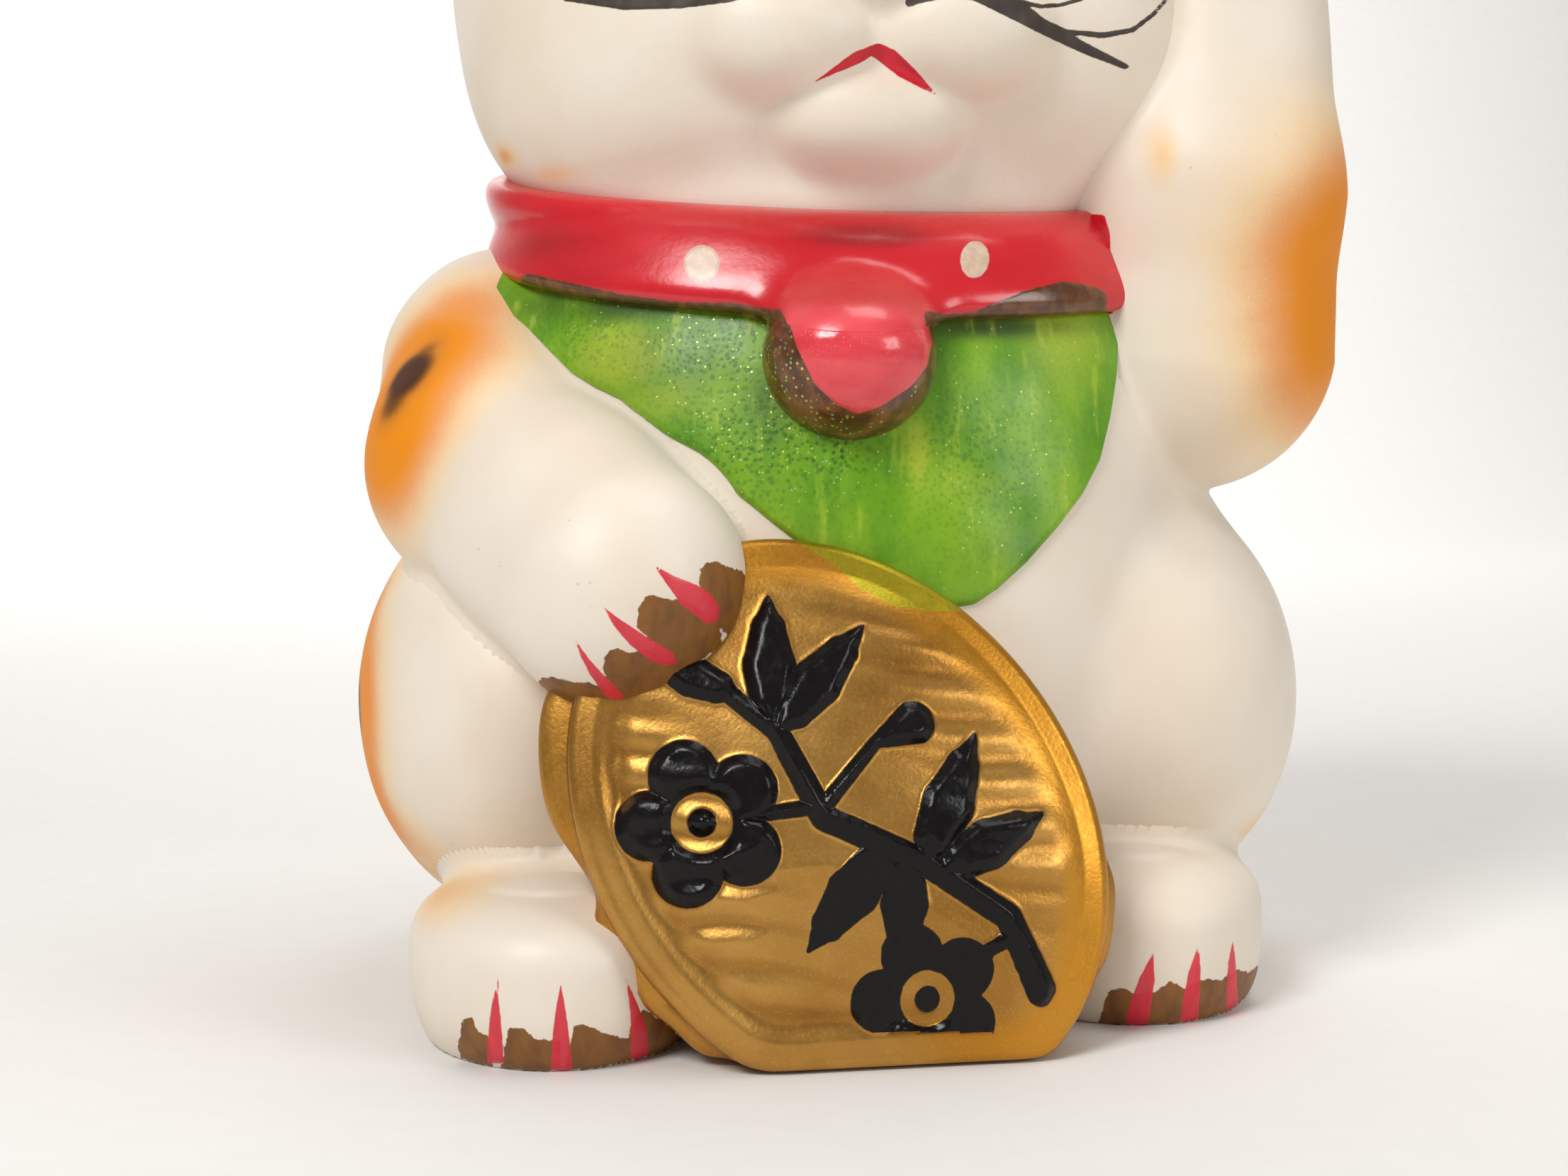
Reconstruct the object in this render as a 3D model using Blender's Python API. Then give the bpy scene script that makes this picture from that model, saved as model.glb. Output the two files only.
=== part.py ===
"""Lucky cat coin bank: a seated ceramic cat, cast in pieces and luted together before firing.

Metres, +Z up. The cat faces -Y, so its own left side, with the raised paw, is at +X.
Each form is a field of blended clay lumps, and rays from inside the form find its skin, where the field is 0.
Pieces that lie on others are cut by copies of them grown by the seam, so each seats a seam's width away.
"""

import math

import bmesh
import bpy
import numpy as np

# Clearances and walls
SEAM = 0.0003
LAID_CLEARANCE = 0.0006
WALL = 0.0045

# Torso
BELLY_WIDTH = 0.102
BELLY_DEPTH = 0.098
BELLY_HEIGHT = 0.100
BELLY_LEVEL = 0.046
BELLY_Y = -0.001
CHEST_WIDTH = 0.092
CHEST_DEPTH = 0.076
CHEST_HEIGHT = 0.060
CHEST_DROP = 0.014
CHEST_Y = -0.001
CHEST_FILLET = 0.026
SEAT_WIDTH = 0.108
SEAT_DEPTH = 0.084
SEAT_HEIGHT = 0.052
SEAT_LEVEL = 0.016
SEAT_Y = 0.010
SEAT_FILLET = 0.018
LAP_WIDTH = 0.056
LAP_DEPTH = 0.042
LAP_HEIGHT = 0.060
LAP_LEVEL = 0.022
LAP_Y = -0.035
LAP_FILLET = 0.006

# Legs
HIP_WIDTH = 0.127
HIP_SHIFT = -0.0015
THIGH_WIDTH = 0.047
THIGH_DEPTH = 0.076
THIGH_HEIGHT = 0.058
THIGH_LEVEL = 0.037
THIGH_Y = -0.006
THIGH_FILLET = 0.005
FOOT_WIDTH = 0.0365
FOOT_LENGTH = 0.047
FOOT_RISE = 0.009
FOOT_DROP = 0.015
FOOT_SQUARENESS = 3.4
FOOT_LEVEL = 0.011
FOOT_SPREAD = 0.0719
FOOT_SHIFT = -0.0031
RIGHT_FOOT_Y = -0.039
LEFT_FOOT_Y = -0.030

# Base hole, with the recess that its stopper's flange lies in
HOLE_DIAMETER = 0.036
RECESS_DIAMETER = 0.044
RECESS_DEPTH = 0.003
HOLE_Y = 0.006
BASE_EDGE = 0.0012

# Neck and collar
NECK_WIDTH = 0.082
NECK_SHIFT = 0.0008
NECK_DEPTH = 0.072
NECK_BAND = 0.026
NECK_ABOVE_BELLY = 0.0043
NECK_FILLET = 0.006
NECK_PITCH = math.radians(10.5)
NECK_TURN = math.radians(9.6)
COLLAR_HEIGHT = 0.012
COLLAR_EDGE = 0.0009
COLLAR_BULGE = 0.0028

# Head
HEAD_WIDTH = 0.106
HEAD_DEPTH = 0.090
HEAD_HEIGHT = 0.090
HEAD_RISE = 0.0337
HEAD_SHIFT = 0.0026
NOSE_SHIFT = 0.0012
HEAD_Y = 0.001
CHEEK_WIDTH = 0.054
CHEEK_DEPTH = 0.060
CHEEK_HEIGHT = 0.044
CHEEK_SPREAD = 0.044
CHEEK_DROP = 0.015
CHEEK_LEAD = 0.009
CHEEK_FILLET = 0.008
PUFF_WIDTH = 0.026
PUFF_DEPTH = 0.021
PUFF_HEIGHT = 0.018
PUFF_SPREAD = 0.019
PUFF_DROP = 0.013
PUFF_LEAD = 0.037
PUFF_FILLET = 0.004
CHIN_WIDTH = 0.025
CHIN_DEPTH = 0.018
CHIN_HEIGHT = 0.015
CHIN_DROP = 0.0225
CHIN_LEAD = 0.035
CHIN_FILLET = 0.0035
NOSE_WIDTH = 0.012
NOSE_DEPTH = 0.010
NOSE_HEIGHT = 0.009
NOSE_DROP = 0.005
NOSE_LEAD = 0.044
NOSE_FILLET = 0.004
SLOT_LENGTH = 0.036
SLOT_HEIGHT = 0.0056
SLOT_RISE = 0.014

# Ears
EAR_SPREAD = 0.058
EAR_RISE = 0.027
EAR_LENGTH = 0.026
EAR_SPLAY = 0.009
EAR_BASE_RADIUS = 0.020
EAR_TIP_RADIUS = 0.0065
EAR_THICKNESS = 0.022
EAR_DISH_WIDTH = 0.017
EAR_DISH_DEPTH = 0.003

# Arms
LIMB_FILLET = 0.004
RIGHT_SHOULDER_RADIUS = 0.018
SHOULDER_SINK = 0.003
RIGHT_SHOULDER_DROP = 0.0203
RIGHT_SHOULDER_Y = -0.005
RIGHT_ELBOW_RADIUS = 0.0165
RIGHT_ELBOW_DROP = 0.011
RIGHT_ELBOW_LEAD = 0.015
RIGHT_ELBOW_OUT = 0.002
RIGHT_WRIST_RADIUS = 0.015
RIGHT_WRIST_SHARE = 0.55
RIGHT_PAW_RADIUS = 0.015
PAW_CLOCK = math.radians(3.9)
PAW_BEYOND = 0.0015
PAW_SET_BACK = 0.0048
LEFT_SHOULDER_RADIUS = 0.0198
LEFT_SHOULDER_DROP = 0.0165
LEFT_SHOULDER_Y = -0.019
LEFT_ARM_PROUD = 0.0016
LEFT_SHOULDER_OUT = -0.0005
FOREARM_RADIUS = 0.017
FOREARM_RISE = 0.0027
FOREARM_Y = -0.023
FOREARM_OUT = 0.0015
WRIST_RADIUS = 0.0125
WRIST_RISE = 0.0457
WRIST_Y = -0.016
WRIST_OUT = 0.006
LEFT_PAW_RADIUS = 0.0145
LEFT_PAW_RISE = 0.0657
LEFT_PAW_Y = -0.024
LEFT_PAW_OUT = 0.004
TOES_LEAD = 0.010
TOES_DROP = 0.008
TOES_RADIUS = 0.0115

# Koban coin
COIN_LENGTH = 0.072
COIN_WIDTH = 0.0566
COIN_EDGE = 0.0105
COIN_DOME = 0.0055
COIN_RIM_WIDTH = 0.0032
COIN_RIM_HEIGHT = 0.0009
COIN_CORNER = 0.0016
COIN_BED = 0.0005
COIN_X = -0.0066
COIN_LEVEL = 0.0277
COIN_ROLL = math.radians(36.2)
COIN_LEAN = math.radians(12)
COIN_FOOT_CLEARANCE = 0.0004
COIN_FOOT_FILLET = 0.002

# Bell and bib
BELL_DIAMETER = 0.021
BELL_X = -0.003
BELL_BELOW_COLLAR = 0.0045
BELL_PROUD = 0.013
BIB_THICKNESS = 0.0012
BIB_RIGHT_TIP = math.radians(-68)
BIB_LEFT_TIP = math.radians(42)
BIB_LOWEST = math.radians(11)
BIB_DEPTH = 0.029
BIB_TIP_DEPTH = 0.004
BIB_RIGHT_SWEEP = 1.2
BIB_LEFT_SWEEP = 1.05

# Tail
TAIL_RADIUS = 0.0075
TAIL_TIP_RADIUS = 0.0085
TAIL_ROOT_X = 0.026
TAIL_ROOT_LEVEL = 0.014
TAIL_TIP_X = 0.002
TAIL_TIP_LEVEL = 0.040
TAIL_TIP_PROUD = 0.0103
TAIL_ROOT_PROUD = 0.0023
TAIL_BEND = (-0.012, 0, -0.008)
TAIL_JOINTS = 6

# Stopper
STOPPER_CLEARANCE = 0.0003
FLANGE_THICKNESS = 0.0018
FLANGE_CLEARANCE = 0.0008
SLEEVE_HEIGHT = 0.012
SLEEVE_WALL = 0.0018
SLEEVE_TAPER = 0.0006
RIB_COUNT = 3
RIB_DEPTH = 0.0005
RIB_START = 0.4
RIB_END = 0.8

# Fineness of the skins
BODY_SPOKES = 44
BODY_RINGS = 20
HEAD_SPOKES = 48
JAW_RINGS = 13
CROWN_RINGS = 9
INNER_RINGS = 6
LIMB_SPOKES = 16
LIMB_RINGS = 7
CAP_RINGS = 5
COIN_SPOKES = 36
STOPPER_SPOKES = 24
BIB_COLUMNS = 17
BIB_ROWS = 6
FRONT_BIAS = 0.40
RAY_START = 0.002
RAY_STEPS = 70

RAY_REACH = 0.8 * HIP_WIDTH
BELLY_TOP = BELLY_LEVEL + BELLY_HEIGHT / 2
NECK_LEVEL = BELLY_TOP + NECK_ABOVE_BELLY
NECK = np.array((NECK_SHIFT, 0, NECK_LEVEL))
HEAD = np.array((HEAD_SHIFT, HEAD_Y, NECK_LEVEL + HEAD_RISE))
NOSE_ROOT = HEAD * (0, 1, 1) + (NOSE_SHIFT, 0, 0)
EAR_FLAT = EAR_THICKNESS / (2 * EAR_BASE_RADIUS)
BELLY_FRONT = BELLY_Y - BELLY_DEPTH / 2
COIN_CENTRE = np.array((COIN_X, BELLY_FRONT + COIN_BED - COIN_EDGE, COIN_LEVEL))


# Clay fields: each gives the rough distance from points to a form's surface, negative inside

def length(v):
    return np.sqrt((v * v).sum(-1))


def lump(p, centre, size):
    """Ellipsoid of the given full width, depth and height."""
    radii = np.array(size) / 2
    q = (p - np.array(centre)) / radii
    k = length(q)
    return k * (k - 1) / np.maximum(length(q / radii), 1e-9)


def blend(a, b, reach):
    """Union of two forms with a fillet of about the given reach."""
    h = np.maximum(reach - np.abs(a - b), 0) / reach
    return np.minimum(a, b) - h * h * reach / 4


def limb(p, joints):
    """Chain of tapered round rods through the joints, each a point and a radius."""
    d = None
    for (a, ra), (b, rb) in zip(joints, joints[1:]):
        a, b = np.array(a), np.array(b)
        run = b - a
        t = np.clip(((p - a) @ run) / (run @ run), 0, 1)
        rod = length(p - a - t[..., None] * run) - ra - t * (rb - ra)
        d = rod if d is None else blend(d, rod, LIMB_FILLET)
    return d


def neck(p):
    return lump(p, NECK, (NECK_WIDTH, NECK_DEPTH, NECK_BAND))


def torso_core(p):
    """Torso without its lap, which is what the hollow follows."""
    d = lump(p, (0, BELLY_Y, BELLY_LEVEL), (BELLY_WIDTH, BELLY_DEPTH, BELLY_HEIGHT))
    chest = lump(p, (0, CHEST_Y, BELLY_TOP - CHEST_DROP), (CHEST_WIDTH, CHEST_DEPTH, CHEST_HEIGHT))
    d = blend(d, chest, CHEST_FILLET)
    d = blend(d, lump(p, (0, SEAT_Y, SEAT_LEVEL), (SEAT_WIDTH, SEAT_DEPTH, SEAT_HEIGHT)), SEAT_FILLET)
    d = blend(d, neck(p), NECK_FILLET)
    thigh_x = (HIP_WIDTH - THIGH_WIDTH) / 2
    for side in (-1, 1):
        place = (HIP_SHIFT + side * thigh_x, THIGH_Y, THIGH_LEVEL)
        d = blend(d, lump(p, place, (THIGH_WIDTH, THIGH_DEPTH, THIGH_HEIGHT)), THIGH_FILLET)
    return d


def torso(p):
    """Torso with the lap that fills the space behind the coin."""
    lap = lump(p, (COIN_X, LAP_Y, LAP_LEVEL), (LAP_WIDTH, LAP_DEPTH, LAP_HEIGHT))
    return blend(torso_core(p), lap, LAP_FILLET)


def foot_centre(side):
    y = LEFT_FOOT_Y if side > 0 else RIGHT_FOOT_Y
    return np.array((FOOT_SHIFT + side * FOOT_SPREAD / 2, y, FOOT_LEVEL))


def foot(p, side, sole=0.0):
    """Oval foot, low above its widest level and deep below it, boxy in profile, with a flat sole."""
    q = p - foot_centre(side)
    half = np.array((FOOT_WIDTH / 2, FOOT_LENGTH / 2))
    plan = q[..., :2] / half
    r = np.maximum(length(plan), 1e-9)
    depth = np.where(q[..., 2] < 0, FOOT_DROP, FOOT_RISE)
    h = np.maximum(np.abs(q[..., 2]) / depth, 1e-9)
    k = (r ** FOOT_SQUARENESS + h ** FOOT_SQUARENESS) ** (1 / FOOT_SQUARENESS)
    outwards = (r / k) ** (FOOT_SQUARENESS - 1) * length(plan / half) / r
    upwards = (h / k) ** (FOOT_SQUARENESS - 1) / depth
    return np.maximum((k - 1) / np.hypot(outwards, upwards), sole - p[..., 2])


def head(p):
    d = lump(p, HEAD, (HEAD_WIDTH, HEAD_DEPTH, HEAD_HEIGHT))
    for side in (-1, 1):
        cheek = HEAD + (side * CHEEK_SPREAD / 2, -CHEEK_LEAD, -CHEEK_DROP)
        d = blend(d, lump(p, cheek, (CHEEK_WIDTH, CHEEK_DEPTH, CHEEK_HEIGHT)), CHEEK_FILLET)
    for side in (-1, 1):
        puff = NOSE_ROOT + (side * PUFF_SPREAD / 2, -PUFF_LEAD, -PUFF_DROP)
        d = blend(d, lump(p, puff, (PUFF_WIDTH, PUFF_DEPTH, PUFF_HEIGHT)), PUFF_FILLET)
    chin = lump(p, NOSE_ROOT - (0, CHIN_LEAD, CHIN_DROP), (CHIN_WIDTH, CHIN_DEPTH, CHIN_HEIGHT))
    nose = lump(p, NOSE_ROOT - (0, NOSE_LEAD, NOSE_DROP), (NOSE_WIDTH, NOSE_DEPTH, NOSE_HEIGHT))
    d = blend(blend(d, chin, CHIN_FILLET), nose, NOSE_FILLET)
    return blend(d, neck(p), NECK_FILLET)


def ear_root(side):
    return HEAD + np.array((side * EAR_SPREAD / 2, 0, EAR_RISE))


def ear(p, side):
    """Flattened cone with a shallow dish in its front."""
    root = ear_root(side)
    tip = root + np.array((side * EAR_SPLAY, 0, EAR_LENGTH))
    q = root + (p - root) / np.array((1, EAR_FLAT, 1))
    cone = limb(q, [(root, EAR_BASE_RADIUS), (tip, EAR_TIP_RADIUS)]) * EAR_FLAT
    face = (root + tip) / 2 - np.array((0, (EAR_BASE_RADIUS + EAR_TIP_RADIUS) / 2 * EAR_FLAT, 0))
    dish = lump(p, face, (EAR_DISH_WIDTH, 2 * EAR_DISH_DEPTH, EAR_LENGTH))
    return np.maximum(cone, -dish)


def coin_point(u, w, n):
    """Place of a point of the coin's own frame: u across, w along its length, n out of its face."""
    sideways = np.array((1.0, 0, 0))
    upward = np.array((0, math.sin(COIN_LEAN), math.cos(COIN_LEAN)))
    facing = np.array((0, -math.cos(COIN_LEAN), math.sin(COIN_LEAN)))
    across = math.cos(COIN_ROLL) * sideways + math.sin(COIN_ROLL) * upward
    along = math.cos(COIN_ROLL) * upward - math.sin(COIN_ROLL) * sideways
    u, w, n = (np.asarray(v, float)[..., None] for v in (u, w, n))
    return COIN_CENTRE + u * across + w * along + n * facing


def right_arm_joints():
    """Shoulder, elbow, wrist and the paw that lies over the coin's upper rim."""
    shoulder = np.array((SHOULDER_SINK - CHEST_WIDTH / 2, RIGHT_SHOULDER_Y, NECK_LEVEL - RIGHT_SHOULDER_DROP))
    elbow = shoulder - np.array((RIGHT_ELBOW_OUT, RIGHT_ELBOW_LEAD, RIGHT_ELBOW_DROP))
    reach = COIN_LENGTH / 2 + PAW_BEYOND
    paw = coin_point(-reach * math.sin(PAW_CLOCK), reach * math.cos(PAW_CLOCK), -PAW_SET_BACK)
    wrist = elbow + (paw - elbow) * RIGHT_WRIST_SHARE
    return [
        (shoulder, RIGHT_SHOULDER_RADIUS),
        (elbow, RIGHT_ELBOW_RADIUS),
        (wrist, RIGHT_WRIST_RADIUS),
        (paw, RIGHT_PAW_RADIUS),
    ]


def left_arm_joints():
    """Shoulder on the torso's side, forearm, wrist, and the paw by the ear with its toes bent down."""
    axis = np.array([(0, LEFT_SHOULDER_Y, NECK_LEVEL - LEFT_SHOULDER_DROP)])
    x = inward(torso, axis, np.array([(1.0, 0, 0)]))[0, 0] + LEFT_ARM_PROUD
    return [
        ((x + LEFT_SHOULDER_OUT, LEFT_SHOULDER_Y, NECK_LEVEL - LEFT_SHOULDER_DROP), LEFT_SHOULDER_RADIUS),
        ((x + FOREARM_OUT, FOREARM_Y, NECK_LEVEL + FOREARM_RISE), FOREARM_RADIUS),
        ((x + WRIST_OUT, WRIST_Y, NECK_LEVEL + WRIST_RISE), WRIST_RADIUS),
        ((x + LEFT_PAW_OUT, LEFT_PAW_Y, NECK_LEVEL + LEFT_PAW_RISE), LEFT_PAW_RADIUS),
        ((x + LEFT_PAW_OUT, LEFT_PAW_Y - TOES_LEAD, NECK_LEVEL + LEFT_PAW_RISE - TOES_DROP), TOES_RADIUS),
    ]


def tail_joints():
    """Joints along a curve that sweeps sideways off the rump, then up the back, half sunk in its skin."""
    root = np.array((TAIL_ROOT_X, 0, TAIL_ROOT_LEVEL))
    tip = np.array((TAIL_TIP_X, 0, TAIL_TIP_LEVEL))
    bend = (root + tip) / 2 + TAIL_BEND
    t = np.linspace(0, 1, TAIL_JOINTS)
    place = (1 - t[:, None]) ** 2 * root + 2 * (t * (1 - t))[:, None] * bend + t[:, None] ** 2 * tip
    back = inward(torso, place, np.broadcast_to(np.array((0, 1.0, 0)), place.shape))
    radius = TAIL_RADIUS + t * (TAIL_TIP_RADIUS - TAIL_RADIUS)
    back[:, 1] += TAIL_ROOT_PROUD + t * (TAIL_TIP_PROUD - TAIL_ROOT_PROUD) - radius
    return list(zip(back, radius))


# Rays and skins

def outward(field, start, way):
    """First points of the field's surface met from inside, along each ray."""
    t = np.full(start.shape[:-1], RAY_START)
    for _ in range(RAY_STEPS):
        t = t + 0.8 * np.maximum(-field(start + way * t[..., None]), 0)
    return start + way * t[..., None]


def inward(field, start, way):
    """Outermost points of the field's surface, met from beyond along each ray."""
    t = np.full(start.shape[:-1], RAY_REACH)
    for _ in range(RAY_STEPS):
        t = t - 0.8 * np.maximum(field(start + way * t[..., None]), 0)
    return start + way * t[..., None]


def spoke_angles(count):
    """Angles round the upright axis from the front, closer together there."""
    t = np.arange(count) * (2 * math.pi / count)
    return t - FRONT_BIAS * np.sin(t)


def axis_rays(levels, slopes, angles, y):
    """Rays from the upright axis at each level, in planes that rise to the back by the slopes."""
    start = np.zeros((len(levels), len(angles), 3))
    start[..., 1] = y
    start[..., 2] = np.asarray(levels)[:, None]
    way = np.zeros_like(start)
    way[..., 0] = np.sin(angles)
    way[..., 1] = -np.cos(angles)
    uphill = way[..., 1] * math.cos(NECK_TURN) - way[..., 0] * math.sin(NECK_TURN)
    way[..., 2] = uphill * np.asarray(slopes)[:, None]
    return start, way / length(way)[..., None]


def capsule_rays(a, b, spokes, rings, caps):
    """Rays from the segment a to b: straight out of each end, across along its run."""
    a, b = np.array(a), np.array(b)
    axis = (b - a) / length(b - a)
    side = np.cross(axis, (1, 0, 0))
    side /= length(side)
    third = np.cross(axis, side)
    rise = np.radians(np.linspace(0, 90, caps + 1)[:-1])
    tilt = np.concatenate([-rise[::-1], np.zeros(rings - 1), rise])[:, None, None]
    along = np.concatenate([np.zeros(caps), np.linspace(0, 1, rings + 1)[1:-1], np.ones(caps)])
    turn = np.arange(spokes)[None, :, None] * (2 * math.pi / spokes)
    way = np.cos(tilt) * (np.cos(turn) * side + np.sin(turn) * third) + np.sin(tilt) * axis
    start = a + along[:, None, None] * (b - a) + np.zeros_like(way)
    return start, way, axis


def loft(name, rings, wrap=False, fill=False):
    """Object whose rings of points are bridged in turn with triangles; a ring of one point is a pole."""
    bm = bmesh.new()
    loops = [[bm.verts.new(point) for point in ring] for ring in rings]
    pairs = list(zip(loops, loops[1:])) + ([(loops[-1], loops[0])] if wrap else [])
    for low, high in pairs:
        count = max(len(low), len(high))
        for i in range(count):
            j = (i + 1) % count
            a, b = low[i % len(low)], low[j % len(low)]
            c, d = high[j % len(high)], high[i % len(high)]
            if a is not b:
                bm.faces.new((a, b, c))
            if c is not d:
                bm.faces.new((a, c, d))
    if fill:
        bm.faces.new(loops[0])
        bm.faces.new(loops[-1])
    bmesh.ops.recalc_face_normals(bm, faces=bm.faces)
    mesh = bpy.data.meshes.new(name)
    bm.to_mesh(mesh)
    bm.free()
    obj = bpy.data.objects.new(name, mesh)
    bpy.context.scene.collection.objects.link(obj)
    return obj


def circle(radius, level, angles, y=0.0):
    return np.stack([radius * np.sin(angles), y - radius * np.cos(angles), np.full(len(angles), level)], -1)


def limb_skin(name, field, a, b, grow=0.0):
    """Closed skin of a limb whose field surrounds the segment from a to b."""
    start, way, axis = capsule_rays(a, b, LIMB_SPOKES, LIMB_RINGS, CAP_RINGS)
    skin = outward(lambda p: field(p) - grow, start, way)
    ends = outward(lambda p: field(p) - grow, np.array([a, b]), np.array([-axis, axis]))
    return loft(name, [ends[:1], *skin, ends[1:]])


# Materials and cuts

def paint(obj, colour, roughness, metallic=0.0):
    """Give the object its own material and smooth shading with creased edges."""
    material = bpy.data.materials.new(obj.name)
    material.use_nodes = True
    shader = material.node_tree.nodes["Principled BSDF"]
    shader.inputs["Base Color"].default_value = (*colour, 1)
    shader.inputs["Roughness"].default_value = roughness
    shader.inputs["Metallic"].default_value = metallic
    obj.data.materials.append(material)
    obj.data.shade_smooth()
    obj.data.set_sharp_from_angle(angle=math.radians(40))
    return obj


def bisque(obj):
    return paint(obj, (0.86, 0.82, 0.75), 0.45)


def ochre(obj):
    return paint(obj, (0.80, 0.50, 0.15), 0.45)


def gilt(obj):
    return paint(obj, (0.72, 0.45, 0.14), 0.32, 0.9)


def red_enamel(obj):
    return paint(obj, (0.66, 0.03, 0.05), 0.15)


def green_lacquer(obj):
    return paint(obj, (0.12, 0.40, 0.05), 0.25)


def soft_plastic(obj):
    return paint(obj, (0.75, 0.74, 0.70), 0.5)


def cutter(obj):
    obj.hide_render = True
    obj.display_type = "WIRE"
    return obj


def cut(obj, *cutters):
    for tool in cutters:
        modifier = obj.modifiers.new("less_" + tool.name, "BOOLEAN")
        modifier.operation = "DIFFERENCE"
        modifier.solver = "EXACT"
        modifier.object = tool
    return obj


# Torso and head shells

def torso_rays(low, count):
    """Rays round the torso, level at its foot and pitched like the collar at the neck."""
    levels = np.linspace(low, NECK_LEVEL - SEAM / 2, count + 1)
    share = (levels - low) / (levels[-1] - low)
    return axis_rays(levels, math.tan(NECK_PITCH) * share ** 2, spoke_angles(BODY_SPOKES), HOLE_Y)


def body_shell():
    """Hollow torso: recessed base hole, rolled foot edge, outside, neck rim and inside."""
    angles = spoke_angles(BODY_SPOKES)
    floor = RECESS_DEPTH + WALL
    outside = inward(torso, *torso_rays(BASE_EDGE, BODY_RINGS))
    inside = outward(lambda p: torso_core(p) + WALL, *torso_rays(floor, INNER_RINGS))
    axis = np.array((0, HOLE_Y, 0))
    spoke = (outside[0] - axis) * (1, 1, 0)
    foot = axis + spoke * (1 - BASE_EDGE / length(spoke)[:, None])
    rings = [
        circle(HOLE_DIAMETER / 2, RECESS_DEPTH, angles, HOLE_Y),
        circle(RECESS_DIAMETER / 2, RECESS_DEPTH, angles, HOLE_Y),
        circle(RECESS_DIAMETER / 2, 0, angles, HOLE_Y),
        foot,
        *outside,
        *inside[::-1],
        circle(HOLE_DIAMETER / 2, floor, angles, HOLE_Y),
    ]
    return bisque(loft("body_shell", rings, wrap=True))


def torso_cutter():
    """The torso's outside grown by the seam, closed below the table and above the neck."""
    rings = inward(lambda p: torso(p) - SEAM, *torso_rays(BASE_EDGE, BODY_RINGS))
    foot = rings[0] * (1, 1, 0) - (0, 0, BASE_EDGE)
    lid = rings[-1] + (0, 0, 3 * SEAM)
    return cutter(loft("cut_torso", [foot, *rings, lid], fill=True))


def head_skin(field, find, lower, upper):
    """Rings of the head from the neck to the crown, and the crown's point."""
    angles = spoke_angles(HEAD_SPOKES)
    levels = np.linspace(NECK_LEVEL + SEAM / 2, HEAD[2], lower + 1)
    share = np.linspace(1, 0, lower + 1)
    low = find(field, *axis_rays(levels, math.tan(NECK_PITCH) * share ** 2, angles, HEAD_Y))
    rise = np.tan(np.linspace(0, math.pi / 2, upper + 1)[1:-1])
    start, way = axis_rays(np.full(upper - 1, HEAD[2]), np.zeros(upper - 1), angles, HEAD_Y)
    way[..., 2] = rise[:, None]
    high = find(field, start, way / length(way)[..., None])
    crown = find(field, NOSE_ROOT[None], np.array([(0.0, 0.0, 1.0)]))
    return [*low, *high, crown]


def slot_cutter():
    """Prism with round ends that cuts the coin slot through the back of the head."""
    half = SLOT_LENGTH / 2 - SLOT_HEIGHT / 2
    turn = np.linspace(-math.pi / 2, math.pi / 2, 7)
    round_end = half + SLOT_HEIGHT / 2 * np.cos(turn)
    x = HEAD_SHIFT + np.concatenate([round_end, -round_end])
    z = SLOT_HEIGHT / 2 * np.concatenate([np.sin(turn), -np.sin(turn)]) + HEAD[2] + SLOT_RISE
    ends = [np.stack([x, np.full(len(x), HEAD_Y + reach), z], -1) for reach in (HEAD_DEPTH / 4, HEAD_DEPTH)]
    return cutter(loft("cut_slot", ends, fill=True))


def head_shell(slot):
    """Hollow head with an open neck and the coin slot."""
    outside = head_skin(head, inward, JAW_RINGS, CROWN_RINGS)
    inside = head_skin(lambda p: head(p) + WALL, outward, INNER_RINGS // 2, INNER_RINGS // 2)
    shell = loft("head_shell", [*outside[::-1], *inside])
    return cut(bisque(shell), slot)


def head_cutter():
    """The head's outside grown by the seam, closed below the neck."""
    rings = head_skin(lambda p: head(p) - SEAM, inward, JAW_RINGS, CROWN_RINGS)
    floor = rings[0] - (0, 0, 3 * SEAM)
    return cutter(loft("cut_head", [floor.mean(0)[None], floor, *rings]))


# Pieces luted to the shells

def make_ear(name, side, head_tool):
    root = ear_root(side)
    tip = root + np.array((side * EAR_SPLAY, 0, EAR_LENGTH))
    piece = limb_skin(name, lambda p: ear(p, side), root, tip)
    return cut(bisque(piece), head_tool)


def foot_skin(name, side, grow=0.0):
    heel = foot_centre(side) + np.array((0, (FOOT_LENGTH - FOOT_WIDTH) / 2, 0))
    ball = 2 * foot_centre(side) - heel
    return limb_skin(name, lambda p: foot(p, side, -grow), heel, ball, grow)


def make_foot(name, side, torso_tool):
    return cut(bisque(foot_skin(name, side)), torso_tool)


def arm_skin(name, joints, grow=0.0):
    """Skin of an arm, sent out from the line between its shoulder and the middle of its paw."""
    paw = np.mean([place for place, radius in joints[3:]], axis=0)
    return limb_skin(name, lambda p: limb(p, joints), joints[0][0], paw, grow)


def make_arm(name, joints, *tools):
    return cut(bisque(arm_skin(name, joints)), *tools)


def make_tail(torso_tool):
    joints = tail_joints()
    piece = limb_skin("tail", lambda p: limb(p, joints), joints[0][0], joints[-1][0])
    return cut(ochre(piece), torso_tool)


# Koban coin

def coin_outline(turn):
    """Radius of the coin's outline at each turn from its length: an oval, cut off level at the table."""
    oval = 1 / np.sqrt((np.sin(turn) / (COIN_WIDTH / 2)) ** 2 + (np.cos(turn) / (COIN_LENGTH / 2)) ** 2)
    fall = -(coin_point(np.sin(turn), np.cos(turn), 0) - COIN_CENTRE)[..., 2]
    drop = COIN_LEVEL - COIN_FOOT_CLEARANCE
    table = np.where(fall > 0.05, drop / np.maximum(fall, 0.05), 1.0)
    return blend(oval, table, COIN_FOOT_FILLET)


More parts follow.
